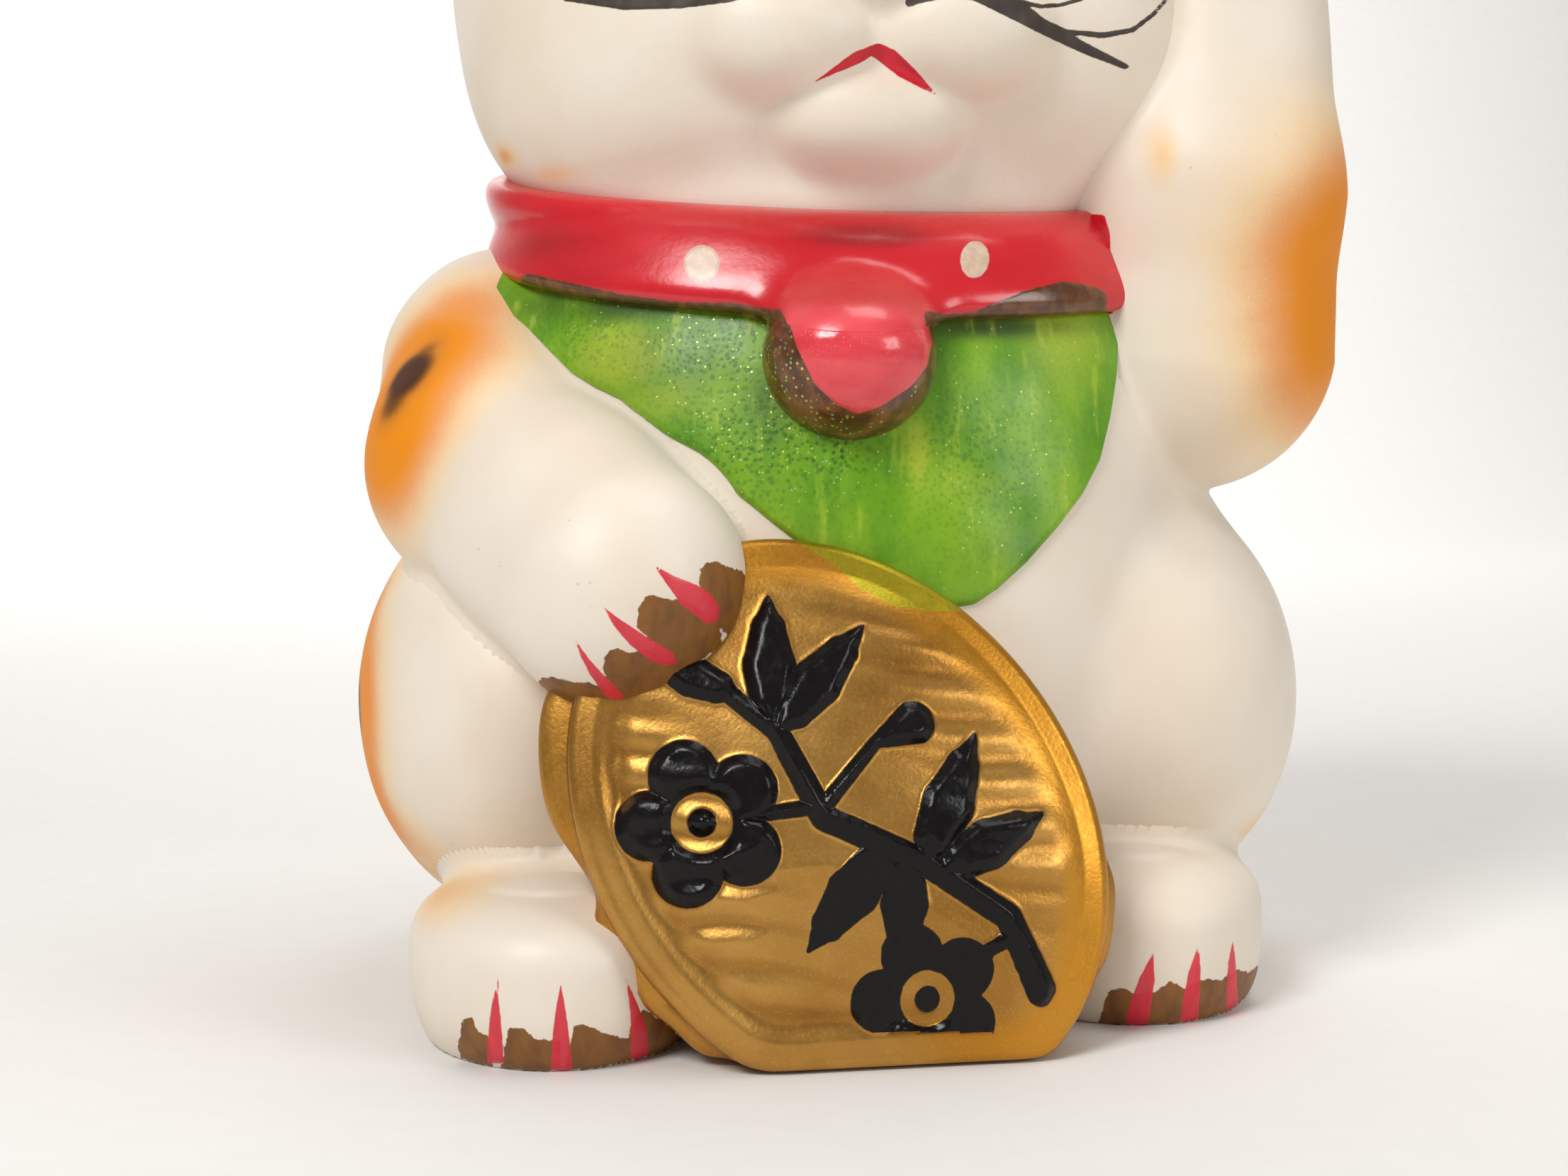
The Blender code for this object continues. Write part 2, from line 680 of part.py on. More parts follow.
def coin_skin(name, grow=0.0, behind=0.0):
    """Domed oval disc with a raised rim: its face from the middle out, its edge and its back."""
    turn = np.arange(COIN_SPOKES) * (2 * math.pi / COIN_SPOKES)
    flat = np.ones(COIN_SPOKES)
    outline = coin_outline(turn) + grow
    share = np.array((0.25, 0.5, 0.7, 0.83))
    inner = outline - COIN_RIM_WIDTH
    rings = [(inner * s, flat * (COIN_DOME * (1 - s * s) + grow)) for s in share]
    rings += [
        (inner, flat * grow),
        (inner + COIN_RIM_WIDTH * 0.3, flat * (COIN_RIM_HEIGHT + grow)),
        (outline - COIN_CORNER, flat * (COIN_RIM_HEIGHT + grow)),
        (outline - COIN_CORNER * 0.3, flat * (COIN_RIM_HEIGHT - COIN_CORNER * 0.3 + grow)),
        (outline, flat * (COIN_RIM_HEIGHT - COIN_CORNER + grow)),
        (outline, flat * (-COIN_EDGE - behind)),
        (outline * 0.5, flat * (-COIN_EDGE - behind)),
    ]
    points = [coin_point(radius * np.sin(turn), radius * np.cos(turn), n) for radius, n in rings]
    for ring in points:
        ring[:, 2] = np.maximum(ring[:, 2], COIN_FOOT_CLEARANCE - grow)
    front = coin_point(0, 0, COIN_DOME + grow)[None]
    back = coin_point(0, 0, -COIN_EDGE - behind)[None]
    return loft(name, [front, *points, back])


# Collar, bell and bib

def collar_rays(heights, angles):
    """Rays in planes parallel to the neck's, the given heights above it."""
    same = np.ones(len(heights))
    start, way = axis_rays(NECK_LEVEL * same, math.tan(NECK_PITCH) * same, angles, 0.0)
    lean = math.sin(NECK_PITCH)
    normal = np.array((lean * math.sin(NECK_TURN), -lean * math.cos(NECK_TURN), math.cos(NECK_PITCH)))
    return start + np.asarray(heights)[:, None, None] * normal, way


def nape(p):
    """Torso and head together, as the collar lies on them."""
    return np.minimum(torso(p), head(p))


def collar_skin(name, grow=0.0, sink=0.0):
    """Band whose inside follows the neck and whose outside bulges between its two edges."""
    angles = spoke_angles(BODY_SPOKES)
    turn = np.radians((-90, -55, -25, 0, 25, 55, 90))
    heights = (COLLAR_HEIGHT / 2 + grow) * np.sin(turn)
    start, way = collar_rays(heights, angles)
    seat = inward(nape, start, way) + way * LAID_CLEARANCE
    swell = COLLAR_EDGE + COLLAR_BULGE * np.cos(turn)
    outside = seat + way * (swell + grow)[:, None, None]
    inside = (seat - way * sink)[[6, 5, 3, 1, 0]]
    return loft(name, [*outside, *inside], wrap=True)


def bell_centre():
    """Middle of the bell, hung under the collar's front."""
    start, way = collar_rays([-COLLAR_HEIGHT / 2], np.array([0.0]))
    front = inward(nape, start, way)[0, 0]
    radius = BELL_DIAMETER / 2
    return (BELL_X, front[1] - BELL_PROUD + radius, front[2] - BELL_BELOW_COLLAR)


def bell_skin(name, grow=0.0):
    bm = bmesh.new()
    bmesh.ops.create_uvsphere(bm, u_segments=24, v_segments=14, radius=BELL_DIAMETER / 2 + grow)
    bmesh.ops.translate(bm, verts=bm.verts, vec=bell_centre())
    mesh = bpy.data.meshes.new(name)
    bm.to_mesh(mesh)
    bm.free()
    obj = bpy.data.objects.new(name, mesh)
    bpy.context.scene.collection.objects.link(obj)
    return obj


def bib_skin():
    """Thin apron on the chest, from under the collar to a rounded point."""
    angles = np.linspace(BIB_RIGHT_TIP, BIB_LEFT_TIP, BIB_COLUMNS)
    right = ((angles - BIB_RIGHT_TIP) / (BIB_LOWEST - BIB_RIGHT_TIP)).clip(0, 1)
    left = ((BIB_LEFT_TIP - angles) / (BIB_LEFT_TIP - BIB_LOWEST)).clip(0, 1)
    right = np.sin(right * math.pi / 2) ** BIB_RIGHT_SWEEP
    left = np.sin(left * math.pi / 2) ** BIB_LEFT_SWEEP
    depth = BIB_TIP_DEPTH + BIB_DEPTH * np.where(angles < BIB_LOWEST, right, left)
    columns = []
    for angle, drop in zip(angles, depth):
        heights = -COLLAR_HEIGHT / 2 - SEAM - np.linspace(0, 1, BIB_ROWS) * drop
        start, way = collar_rays(heights, np.array([angle]))
        under = inward(lambda p: torso(p) - LAID_CLEARANCE, start, way)[:, 0]
        over = inward(lambda p: torso(p) - LAID_CLEARANCE - BIB_THICKNESS, start, way)[:, 0]
        columns.append([*over, *under[::-1]])
    return loft("bib", columns, fill=True)


# Stopper

def base_stopper():
    """Soft bung: flange in the base's recess and a ribbed tapered sleeve, open at its top."""
    angles = np.arange(STOPPER_SPOKES) * (2 * math.pi / STOPPER_SPOKES)
    sleeve = HOLE_DIAMETER / 2 - STOPPER_CLEARANCE
    flange = RECESS_DIAMETER / 2 - FLANGE_CLEARANCE
    top = RECESS_DEPTH - SEAM
    low = top - FLANGE_THICKNESS
    rings = [(flange, low), (flange, top), (sleeve, top)]
    step = SLEEVE_HEIGHT / (RIB_COUNT + 1)
    for k in range(RIB_COUNT):
        narrowing = SLEEVE_TAPER * (k + 1) / RIB_COUNT
        rings += [
            (sleeve - RIB_DEPTH - narrowing, top + step * (k + RIB_START)),
            (sleeve - narrowing, top + step * (k + RIB_END)),
        ]
    rings += [
        (sleeve - SLEEVE_TAPER - RIB_DEPTH, top + SLEEVE_HEIGHT),
        (sleeve - SLEEVE_TAPER - RIB_DEPTH - SLEEVE_WALL, top + SLEEVE_HEIGHT),
        (sleeve - SLEEVE_TAPER - RIB_DEPTH - SLEEVE_WALL, top),
    ]
    points = [circle(radius, level, angles) for radius, level in rings]
    piece = loft("base_stopper", [np.array([(0, 0, low)]), *points, np.array([(0, 0, top)])])
    piece.location = (0, HOLE_Y, 0)
    return soft_plastic(piece)


def stand_on_origin(root):
    """Move the whole cat so that its box is centred over the origin."""
    bpy.context.view_layer.update()
    graph = bpy.context.evaluated_depsgraph_get()
    corners = []
    for obj in root.children:
        if obj.hide_render:
            continue
        shown = obj.evaluated_get(graph)
        corners += [shown.matrix_world @ vertex.co for vertex in shown.data.vertices]
    low = [min(c[i] for c in corners) for i in range(3)]
    high = [max(c[i] for c in corners) for i in range(3)]
    root.location = (-(low[0] + high[0]) / 2, -(low[1] + high[1]) / 2, -low[2])


def build():
    for obj in list(bpy.data.objects):
        bpy.data.objects.remove(obj)
    torso_tool = torso_cutter()
    head_tool = head_cutter()
    coin_tool = cutter(coin_skin("cut_coin", SEAM, COIN_LENGTH / 3))
    collar_tool = cutter(collar_skin("cut_collar", SEAM, COLLAR_HEIGHT / 2))
    bell_tool = cutter(bell_skin("cut_bell", SEAM))
    right_arm_tool = cutter(arm_skin("cut_right_arm", right_arm_joints(), SEAM))
    left_arm_tool = cutter(arm_skin("cut_left_arm", left_arm_joints(), SEAM))
    right_foot_tool = cutter(foot_skin("cut_right_foot", -1, SEAM))
    left_foot_tool = cutter(foot_skin("cut_left_foot", 1, SEAM))
    body_shell()
    head_shell(slot_cutter())
    make_ear("right_ear", -1, head_tool)
    make_ear("left_ear", 1, head_tool)
    make_arm("resting_arm", right_arm_joints(), collar_tool, torso_tool, coin_tool)
    make_arm("raised_arm", left_arm_joints(), collar_tool, torso_tool, head_tool)
    make_foot("right_foot", -1, torso_tool)
    make_foot("left_foot", 1, torso_tool)
    make_tail(torso_tool)
    cut(gilt(coin_skin("koban_coin")), torso_tool, right_foot_tool, left_foot_tool)
    cut(red_enamel(collar_skin("collar")), bell_tool)
    cut(red_enamel(bell_skin("bell")), torso_tool)
    cut(green_lacquer(bib_skin()), bell_tool, coin_tool, right_arm_tool, left_arm_tool)
    base_stopper()
    root = bpy.data.objects.new("lucky_cat", None)
    bpy.context.scene.collection.objects.link(root)
    for obj in bpy.data.objects:
        if obj is not root:
            obj.parent = root
    stand_on_origin(root)


build()
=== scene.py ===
import math

import bpy
import numpy as np
from mathutils import Matrix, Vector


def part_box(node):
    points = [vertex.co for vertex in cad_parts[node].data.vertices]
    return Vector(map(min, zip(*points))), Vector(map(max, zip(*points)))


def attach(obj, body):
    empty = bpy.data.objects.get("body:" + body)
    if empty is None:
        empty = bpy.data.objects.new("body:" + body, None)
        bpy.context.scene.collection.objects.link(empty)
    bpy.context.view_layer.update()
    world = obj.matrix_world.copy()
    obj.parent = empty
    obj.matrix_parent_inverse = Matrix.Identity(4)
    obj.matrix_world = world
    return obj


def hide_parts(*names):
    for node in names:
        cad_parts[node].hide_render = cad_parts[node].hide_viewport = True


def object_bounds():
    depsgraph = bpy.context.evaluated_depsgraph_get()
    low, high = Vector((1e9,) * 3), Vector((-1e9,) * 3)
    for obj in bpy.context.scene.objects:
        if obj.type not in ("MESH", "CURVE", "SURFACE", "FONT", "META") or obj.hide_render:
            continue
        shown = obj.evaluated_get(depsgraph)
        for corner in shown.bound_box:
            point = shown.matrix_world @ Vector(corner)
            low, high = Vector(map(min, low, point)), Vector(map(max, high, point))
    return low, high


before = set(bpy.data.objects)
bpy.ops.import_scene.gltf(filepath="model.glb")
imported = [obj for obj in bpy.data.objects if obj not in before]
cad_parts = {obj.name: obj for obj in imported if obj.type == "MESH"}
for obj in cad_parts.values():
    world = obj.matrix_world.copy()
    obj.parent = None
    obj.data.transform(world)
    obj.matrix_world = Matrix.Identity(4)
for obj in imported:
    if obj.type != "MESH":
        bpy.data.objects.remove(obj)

cad_box = [list(corner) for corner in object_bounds()]


# Camera, table and light.
# Sizes here and below are millimetres from the cat's own upright axis, which passes 6 mm in front of the
# stopper's middle. The camera stands where the photograph was taken, a little to the viewer's left.
HOLE_BACK = 6.0
hole_low, hole_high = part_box("base_stopper")
AXIS = np.array(((hole_low.x + hole_high.x) / 2, (hole_low.y + hole_high.y) / 2 - HOLE_BACK / 1000, 0))
FOCAL = 3333.0
PICTURE_WIDTH = 2212
CENTRE = np.array((1106.0, 829.5))
turn, dip, roll = np.radians((6.0, 3.94, 0.9))
ahead = np.array((math.sin(turn), math.cos(turn), 0))
aside = np.array((math.cos(turn), -math.sin(turn), 0))
upright = np.array((0, 0, 1.0))
eye = -330 * ahead - 6.5 * aside + 73.5 * upright
sight = ahead * math.cos(dip) - upright * math.sin(dip)
lift = ahead * math.sin(dip) + upright * math.cos(dip)
right = aside * math.cos(roll) - lift * math.sin(roll)
top = aside * math.sin(roll) + lift * math.cos(roll)


def seen(p):
    """Picture place of points: sideways and upward offset over depth, times the focal length in pixels."""
    q = p - eye
    depth = q @ sight
    return np.stack([q @ right, -(q @ top)], -1) / depth[..., None] * FOCAL + CENTRE


def at(px, py, y):
    """Point of the picture's sight line through a pixel where it reaches the depth y."""
    way = sight + (right * (px - CENTRE[0]) - top * (py - CENTRE[1])) / FOCAL
    return eye + way * ((y - eye[1]) / way[1])


camera = bpy.data.objects.new("camera", bpy.data.cameras.new("camera"))
camera.data.sensor_width = SENSOR = 36
camera.data.lens = SENSOR * FOCAL / PICTURE_WIDTH
camera.data.clip_start = 0.01
camera.matrix_world = Matrix.Translation(eye / 1000 + AXIS) @ Matrix(np.stack([right, top, -sight], 1)).to_4x4()
bpy.context.scene.collection.objects.link(camera)
bpy.context.scene.camera = camera


def put(tree, kind, *sockets, **settings):
    """Add a node, set its settings, and fill its sockets with values or with other nodes' outputs."""
    node = tree.nodes.new(kind)
    for key, value in settings.items():
        setattr(node, key, value)
    for socket, value in sockets:
        if isinstance(value, bpy.types.NodeSocket):
            tree.links.new(value, node.inputs[socket])
        else:
            node.inputs[socket].default_value = value
    return node


def finish(name):
    """New material with its tree and its Principled shader."""
    material = bpy.data.materials.new(name)
    material.use_nodes = True
    return material, material.node_tree, material.node_tree.nodes["Principled BSDF"]


backing, tree, shader = finish("backdrop_paper")
paper_grain = put(tree, "ShaderNodeTexNoise", ("Scale", 900.0), ("Detail", 4.0))
paper_tone = put(tree, "ShaderNodeMix", ("Factor", paper_grain.outputs["Fac"]), data_type="RGBA")
paper_tone.inputs["A"].default_value = (0.78, 0.765, 0.74, 1)
paper_tone.inputs["B"].default_value = (0.82, 0.805, 0.78, 1)
tree.links.new(paper_tone.outputs["Result"], shader.inputs["Base Color"])
shader.inputs["Roughness"].default_value = 0.7
swing = np.linspace(0, math.pi / 2, 25)
run = np.concatenate([[-2.5], 1.0 + 0.6 * np.sin(swing), [1.6]])
rise = np.concatenate([[0.0], 0.6 - 0.6 * np.cos(swing), [3.0]])
sweep = np.stack([np.stack([np.full(len(run), x), run, rise], -1) for x in (-3.0, 3.0)], 1)
paper = bpy.data.meshes.new("backdrop")
low_edge = 2 * np.arange(len(run) - 1)
paper.from_pydata(sweep.reshape(-1, 3), [], np.stack([low_edge, low_edge + 1, low_edge + 3, low_edge + 2], -1).tolist())
paper.shade_smooth()
backdrop = bpy.data.objects.new("backdrop", paper)
bpy.context.scene.collection.objects.link(backdrop)
backdrop.data.materials.append(backing)

for name, place, size, power in (
    ("window_light", (-0.48, -0.56, 0.74), 0.36, 6.3),
    ("fill_light", (0.70, -0.60, 0.36), 0.34, 2.0),
    ("top_light", (0.22, 0.05, 0.95), 0.50, 3.0),
    ("backdrop_light", (0.0, 0.9, 1.1), 1.0, 14.0),
):
    lamp = bpy.data.objects.new(name, bpy.data.lights.new(name, "AREA"))
    lamp.data.size = size
    lamp.data.energy = power
    lamp.location = place
    aim = Matrix.Translation((0, 2 * (place[1] > 0.5), 0.09)).translation - lamp.location
    lamp.rotation_euler = aim.to_track_quat("-Z", "Y").to_euler()
    bpy.context.scene.collection.objects.link(lamp)
world = bpy.data.worlds.new("studio")
world.use_nodes = True
world.node_tree.nodes["Background"].inputs["Color"].default_value = (1.0, 0.98, 0.95, 1)
world.node_tree.nodes["Background"].inputs["Strength"].default_value = 0.27
bpy.context.scene.world = world
bpy.context.scene.view_settings.view_transform = "Standard"


# Torso with thighs, slip-cast hollow in soft white clay.
# The cast is fettled smooth, fired once and brushed with a cream ground; orange and black are airbrushed over it
# at the hips. The base keeps the mould's round hole, in a shallow recess that takes the stopper's flange.
def length(v):
    return np.sqrt((v * v).sum(-1))


def lump(p, centre, size):
    """Ellipsoid field: k (k - 1) over the length of the twice scaled offset, k its scaled radius."""
    radii = np.array(size) / 2
    q = (p - np.array(centre)) / radii
    k = length(q)
    return k * (k - 1) / np.maximum(length(q / radii), 1e-9)


def blend(a, b, reach):
    """Union of two fields, less a parabola of the given reach where they are near each other."""
    h = np.maximum(reach - np.abs(a - b), 0) / reach
    return np.minimum(a, b) - h * h * reach / 4


def uneven(p):
    """Hand-fettled unevenness: product of three slow waves, a tenth of a millimetre high."""
    x, y, z = p[..., 0], p[..., 1], p[..., 2]
    return 0.10 * np.sin(0.31 * x + 0.07 * z + 1) * np.sin(0.27 * y + 0.11 * x) * np.sin(0.36 * z + 2)


NECK_LEVEL, SEAM = 100.3, 0.3
WALL = 4.5


def neck(p):
    return lump(p, (0.8, 0, NECK_LEVEL), (82, 72, 26))


def torso_core(p):
    d = lump(p, (0, -1, 46), (102, 98, 100))
    d = blend(d, lump(p, (0, -1, 82), (92, 76, 60)), 26)
    d = blend(d, lump(p, (0, 10, 16), (108, 84, 52)), 18)
    d = blend(d, neck(p), 6)
    for side in (-1, 1):
        d = blend(d, lump(p, (-1.5 + side * 40, -6, 37), (47, 76, 58)), 5)
    return d


def torso(p):
    return blend(torso_core(p), lump(p, (-6.6, -35, 22), (56, 42, 60)), 6) + uneven(p)


def from_inside(field, start, way, steps=60):
    """First points of a skin met from within: each ray steps on by four fifths of its depth."""
    t = np.full(start.shape[:-1], 2.0)
    for _ in range(steps):
        t = t + 0.8 * np.maximum(-field(start + way * t[..., None]), 0)
    return start + way * t[..., None]


def from_outside(field, start, way, steps=60):
    """Outermost points of a skin: each ray comes back from beyond by four fifths of its height."""
    t = np.full(start.shape[:-1], 100.0)
    for _ in range(steps):
        t = t - 0.8 * np.maximum(field(start + way * t[..., None]), 0)
    return start + way * t[..., None]


def round_angles(count):
    """Angles round the upright axis from the front, crowded there by a sine."""
    t = np.arange(count) * (2 * math.pi / count)
    return t - 0.4 * np.sin(t)


PITCH, TURN = np.radians((10.5, 9.6))


def axis_rays(levels, slopes, angles, y):
    """Rays out of the upright axis at each level, in planes that rise by the slopes to the back and a little right."""
    start = np.zeros((len(levels), len(angles), 3))
    start[..., 1] = y
    start[..., 2] = np.asarray(levels)[:, None]
    uphill = -np.cos(angles) * math.cos(TURN) - np.sin(angles) * math.sin(TURN)
    way = np.stack(np.broadcast_arrays(np.sin(angles), -np.cos(angles), uphill * np.asarray(slopes)[:, None]), -1)
    return start, way / length(way)[..., None]


def skin(name, rows, first=None, last=None, ring=False):
    """Mesh object of a grid of points, closed round its columns, with a pole at either end or its rows joined."""
    count, across = rows.shape[:2]
    points = [rows.reshape(-1, 3)] + [np.reshape(pole, (1, 3)) for pole in (first, last) if pole is not None]
    r, c = np.meshgrid(np.arange(count if ring else count - 1), np.arange(across), indexing="ij")
    up, on = (r + 1) % count, (c + 1) % across
    quads = np.stack([r * across + c, r * across + on, up * across + on, up * across + c], -1).reshape(-1, 4).tolist()
    c = np.arange(across)
    on = (c + 1) % across
    pole = count * across
    if first is not None:
        quads += np.stack([np.full(across, pole), on, c], -1).tolist()
        pole += 1
    if last is not None:
        end = (count - 1) * across
        quads += np.stack([np.full(across, pole), end + c, end + on], -1).tolist()
    mesh = bpy.data.meshes.new(name)
    mesh.from_pydata(np.clip(np.concatenate(points) / 1000 + AXIS, cad_box[0], cad_box[1]), [], quads)
    mesh.shade_smooth()
    mesh.set_sharp_from_angle(angle=math.radians(50))
    piece = bpy.data.objects.new(name, mesh)
    bpy.context.scene.collection.objects.link(piece)
    return piece


def vertices(piece):
    """The piece's points in the cat's millimetres, and their normals."""
    flat = np.empty(len(piece.data.vertices) * 3)
    piece.data.vertices.foreach_get("co", flat)
    p = (flat.reshape(-1, 3) - AXIS) * 1000
    piece.data.vertex_normals.foreach_get("vector", flat)
    return p, flat.reshape(-1, 3).copy()


def note(piece, name, values):
    """Keep one number at each point of the piece for its material."""
    piece.data.attributes.new(name, "FLOAT", "POINT").data.foreach_set("value", np.asarray(values, np.float32))


def dabs(p, *spots):
    """Airbrushed density, also used for painted shade: for each spot, strength times the bell curve of the scaled
    offset from its middle.
    """
    cover = np.zeros(len(p))
    for centre, size, strength in spots:
        q = (p - np.array(centre)) / np.array(size)
        cover = np.maximum(cover, strength * np.exp(-(q * q).sum(-1)))
    return cover


def passes(p, *runs):
    """Airbrushed density along each run, also used for painted shade: the bell curve of the distance to it over its
    width, times its strength.
    """
    cover = np.zeros(len(p))
    for run in runs:
        for (a, wide_a, full_a), (b, wide_b, full_b) in zip(run, run[1:]):
            way = np.array(b) - np.array(a)
            t = np.clip(((p - a) @ way) / (way @ way), 0, 1)
            r = length(p - a - t[:, None] * way) / (wide_a + t * (wide_b - wide_a))
            cover = np.maximum(cover, (full_a + t * (full_b - full_a)) * np.exp(-r * r))
    return cover


def picker(p, n, field):
    """Finder of the outer skin's point that is seen at a pixel: the nearest one that faces the viewer."""
    shown = ((n * (p - eye)).sum(-1) < 0) & (field(p) > -1)
    p, q = p[shown], seen(p[shown])
    return lambda px, py: p[((q - (px, py)) ** 2).sum(-1).argmin()]


def slopes_of(field, p, step=0.05):
    """Direction in which a field grows: its difference across a small step along each axis."""
    d = [field(p + np.eye(3)[k] * step) - field(p - np.eye(3)[k] * step) for k in range(3)]
    g = np.stack(d, -1)
    return g / np.maximum(length(g), 1e-9)[..., None]


def luted(p, field, depth):
    """Points that lie deeper in a neighbour's clay than the depth, drawn out along its slope to that depth."""
    for _ in range(6):
        short = np.maximum(-depth - field(p), 0)
        p = p + slopes_of(field, p) * short[..., None]
    return p


def filleted(field, bed, reach):
    """Field of a member with a fillet to its bed, kept to the clay within the fillet's reach of the member."""
    def joined(p):
        own = field(p)
        return np.maximum(blend(own, bed(p) + 0.25, reach), own - reach + 0.3)
    return joined


def torso_rays(low, count, across):
    """Rays through levels from the given low one to the neck's seam, which they come to lie in."""
    levels = np.linspace(low, NECK_LEVEL - SEAM / 2, count + 1)
    share = (levels - low) / (levels[-1] - low)
    return axis_rays(levels, math.tan(PITCH) * share ** 2, round_angles(across), HOLE_BACK)


def circle(radius, level):
    """Ring round the stopper's hole at each of the torso's angles."""
    return np.stack([radius * np.sin(angles), HOLE_BACK - radius * np.cos(angles), np.full(ROUND, level)], -1)


ROUND = 300
SOLE_EDGE = 1.2
RECESS = 3.0
FLOOR = RECESS + WALL
HOLE_RADIUS = 18
angles = round_angles(ROUND)
outside = from_outside(torso, *torso_rays(SOLE_EDGE, 150, ROUND))
inside = from_inside(lambda p: torso_core(p) + WALL, *torso_rays(FLOOR, 40, ROUND))
hole_middle = np.array((0, HOLE_BACK, 0))
spoke = (outside[0] - hole_middle) * (1, 1, 0)
edge = [
    hole_middle + spoke * (1 - (SOLE_EDGE - s) / length(spoke)[:, None]) + (0, 0, h)
    for s, h in ((0, 0), (0.6, 0.16), (1.04, 0.6))
]
rims = [circle(r, z) for r, z in ((HOLE_RADIUS, RECESS), (21.7, RECESS), (22, 2.7), (22, 0.3), (22.3, 0))]
torso_rows = np.stack([*rims, *edge, *outside, *inside[::-1], circle(HOLE_RADIUS, FLOOR)])
torso_piece = skin("torso", torso_rows, ring=True)
p, n = vertices(torso_piece)
here = picker(p, n, torso)
note(torso_piece, "orange", np.maximum(passes(
    p,
    (
        (here(556, 780), 8, 0.4), (here(516, 880), 12, 0.8), (here(506, 1000), 14, 1.05), (here(524, 1110), 13, 0.9),
        (here(590, 1195), 9, 0.5),
    ),
    # Painted shade: a weak orange tint along the thigh's crease over the right foot.
    ((here(560, 1225), 4, 0.55), (here(650, 1236), 3.5, 0.45), (here(700, 1236), 2.5, 0.2)),
# The first dab is painted shade, a weak orange tint in the crease over the left foot; the other two are airbrushed on
# the back.
), dabs(p, (here(1765, 1165), (6, 8, 3), 0.4), ((26, 40, 70), (17, 15, 15), 1.3), ((-30, 40, 34), (14, 14, 11), 1.3))))
hip = np.array((-1, 3, 0))
note(torso_piece, "soot", np.maximum(
    passes(p, (
        (here(508, 955) + hip, 4.0, 0.35), (here(508, 1000) + hip, 5.0, 0.8), (here(509, 1045) + hip, 4.0, 0.35),
    )),
    dabs(p, ((30, 40, 72), (9, 12, 8), 1.2), ((-33, 38, 35), (7, 10, 5), 1.1)),
))


# Cream ground and airbrushing, as on every bisque part.
# The ground is a matte emulsion with faint mottling and brush drag; the sprays are thin and soft-edged.
def group(name, inputs, outputs):
    """Empty node group of numbers, but for an output called Colour; gives the tree, its inputs and its far end."""
    tree = bpy.data.node_groups.new(name, "ShaderNodeTree")
    for key, value in inputs.items():
        tree.interface.new_socket(key, in_out="INPUT", socket_type="NodeSocketFloat").default_value = value
    for key in outputs:
        kind = "NodeSocketColor" if key == "Colour" else "NodeSocketFloat"
        tree.interface.new_socket(key, in_out="OUTPUT", socket_type=kind)
    return tree, tree.nodes.new("NodeGroupInput").outputs, tree.nodes.new("NodeGroupOutput")


def give(tree, out, **results):
    """Link results to a group's outputs of the same names."""
    for key, value in results.items():
        tree.links.new(value, out.inputs[key])


def sums(tree, how, a, b, clamp=False):
    return put(tree, "ShaderNodeMath", (0, a), (1, b), operation=how, use_clamp=clamp).outputs[0]


def times(tree, a, b):
    return sums(tree, "MULTIPLY", a, b)


def plus(tree, a, b, clamp=False):
    return sums(tree, "ADD", a, b, clamp)


def minus(tree, a, b):
    return sums(tree, "SUBTRACT", a, b)


def ramp(tree, value, low, high, to_low=0.0, to_high=1.0):
    """Smooth step of a value between two levels."""
    return put(
        tree, "ShaderNodeMapRange", ("Value", value), ("From Min", low), ("From Max", high),
        ("To Min", to_low), ("To Max", to_high), interpolation_type="SMOOTHSTEP",
    ).outputs["Result"]


def noise(tree, where, scale, detail, stretch=(1, 1, 1)):
    """Noise of the object's own coordinates, its pattern in bumps per metre, stretched along the axes."""
    eased = put(tree, "ShaderNodeVectorMath", (0, where), (1, stretch), operation="MULTIPLY").outputs[0]
    return put(tree, "ShaderNodeTexNoise", ("Vector", eased), ("Scale", scale), ("Detail", detail)).outputs["Fac"]


def place_in(tree):
    return put(tree, "ShaderNodeTexCoord").outputs["Object"]


tree, _, far_end = group("fettled_clay", {}, ("Mottle", "Height", "Specks"))
where = place_in(tree)
broad = noise(tree, where, 45.0, 4.0)
drag = noise(tree, where, 420.0, 3.0, (1.0, 1.0, 0.25))
fine = noise(tree, where, 1900.0, 2.0)
pits = put(tree, "ShaderNodeTexVoronoi", ("Vector", where), ("Scale", 330.0)).outputs["Distance"]
pin = ramp(tree, pits, 0.035, 0.075, 1.0, 0.0)
rare = ramp(tree, noise(tree, where, 90.0, 1.0), 0.60, 0.66)
pin = times(tree, pin, rare)
height = plus(tree, times(tree, drag, 0.7), times(tree, fine, 0.3))
height = minus(tree, height, times(tree, pin, 1.5))
give(tree, far_end, Mottle=broad, Height=height, Specks=pin)

tree, given, far_end = group("brush_edge", {"Distance": 1.0, "Ragged": 0.15}, ("Mask", "Height", "Streaks"))
where = place_in(tree)
wander = minus(tree, noise(tree, where, 1100.0, 4.0), 0.5)
wander_mm = times(tree, wander, times(tree, given["Ragged"], 4.0))
shifted = plus(tree, given["Distance"], wander_mm)
bead = ramp(tree, shifted, -0.35, 0.0, 1.0, 0.0)
edge = ramp(tree, shifted, -0.08, 0.08, 1.0, 0.0)
streaks = noise(tree, where, 500.0, 4.0, (1.0, 1.0, 0.4))
give(tree, far_end, Mask=edge, Height=plus(tree, bead, times(tree, wander, 0.3)), Streaks=streaks)

# Soft mask from a density, for airbrushed sprays and for painted shade.
tree, given, far_end = group("spray_and_shade", {"Density": 0.0}, ("Mask",))
where = place_in(tree)
cloud = minus(tree, noise(tree, where, 120.0, 4.0), 0.5)
mist = minus(tree, noise(tree, where, 3200.0, 1.0), 0.5)
wet = plus(tree, given["Density"], times(tree, cloud, 0.12))
wet = plus(tree, wet, times(tree, mist, 0.10))
give(tree, far_end, Mask=ramp(tree, wet, 0.05, 0.85))


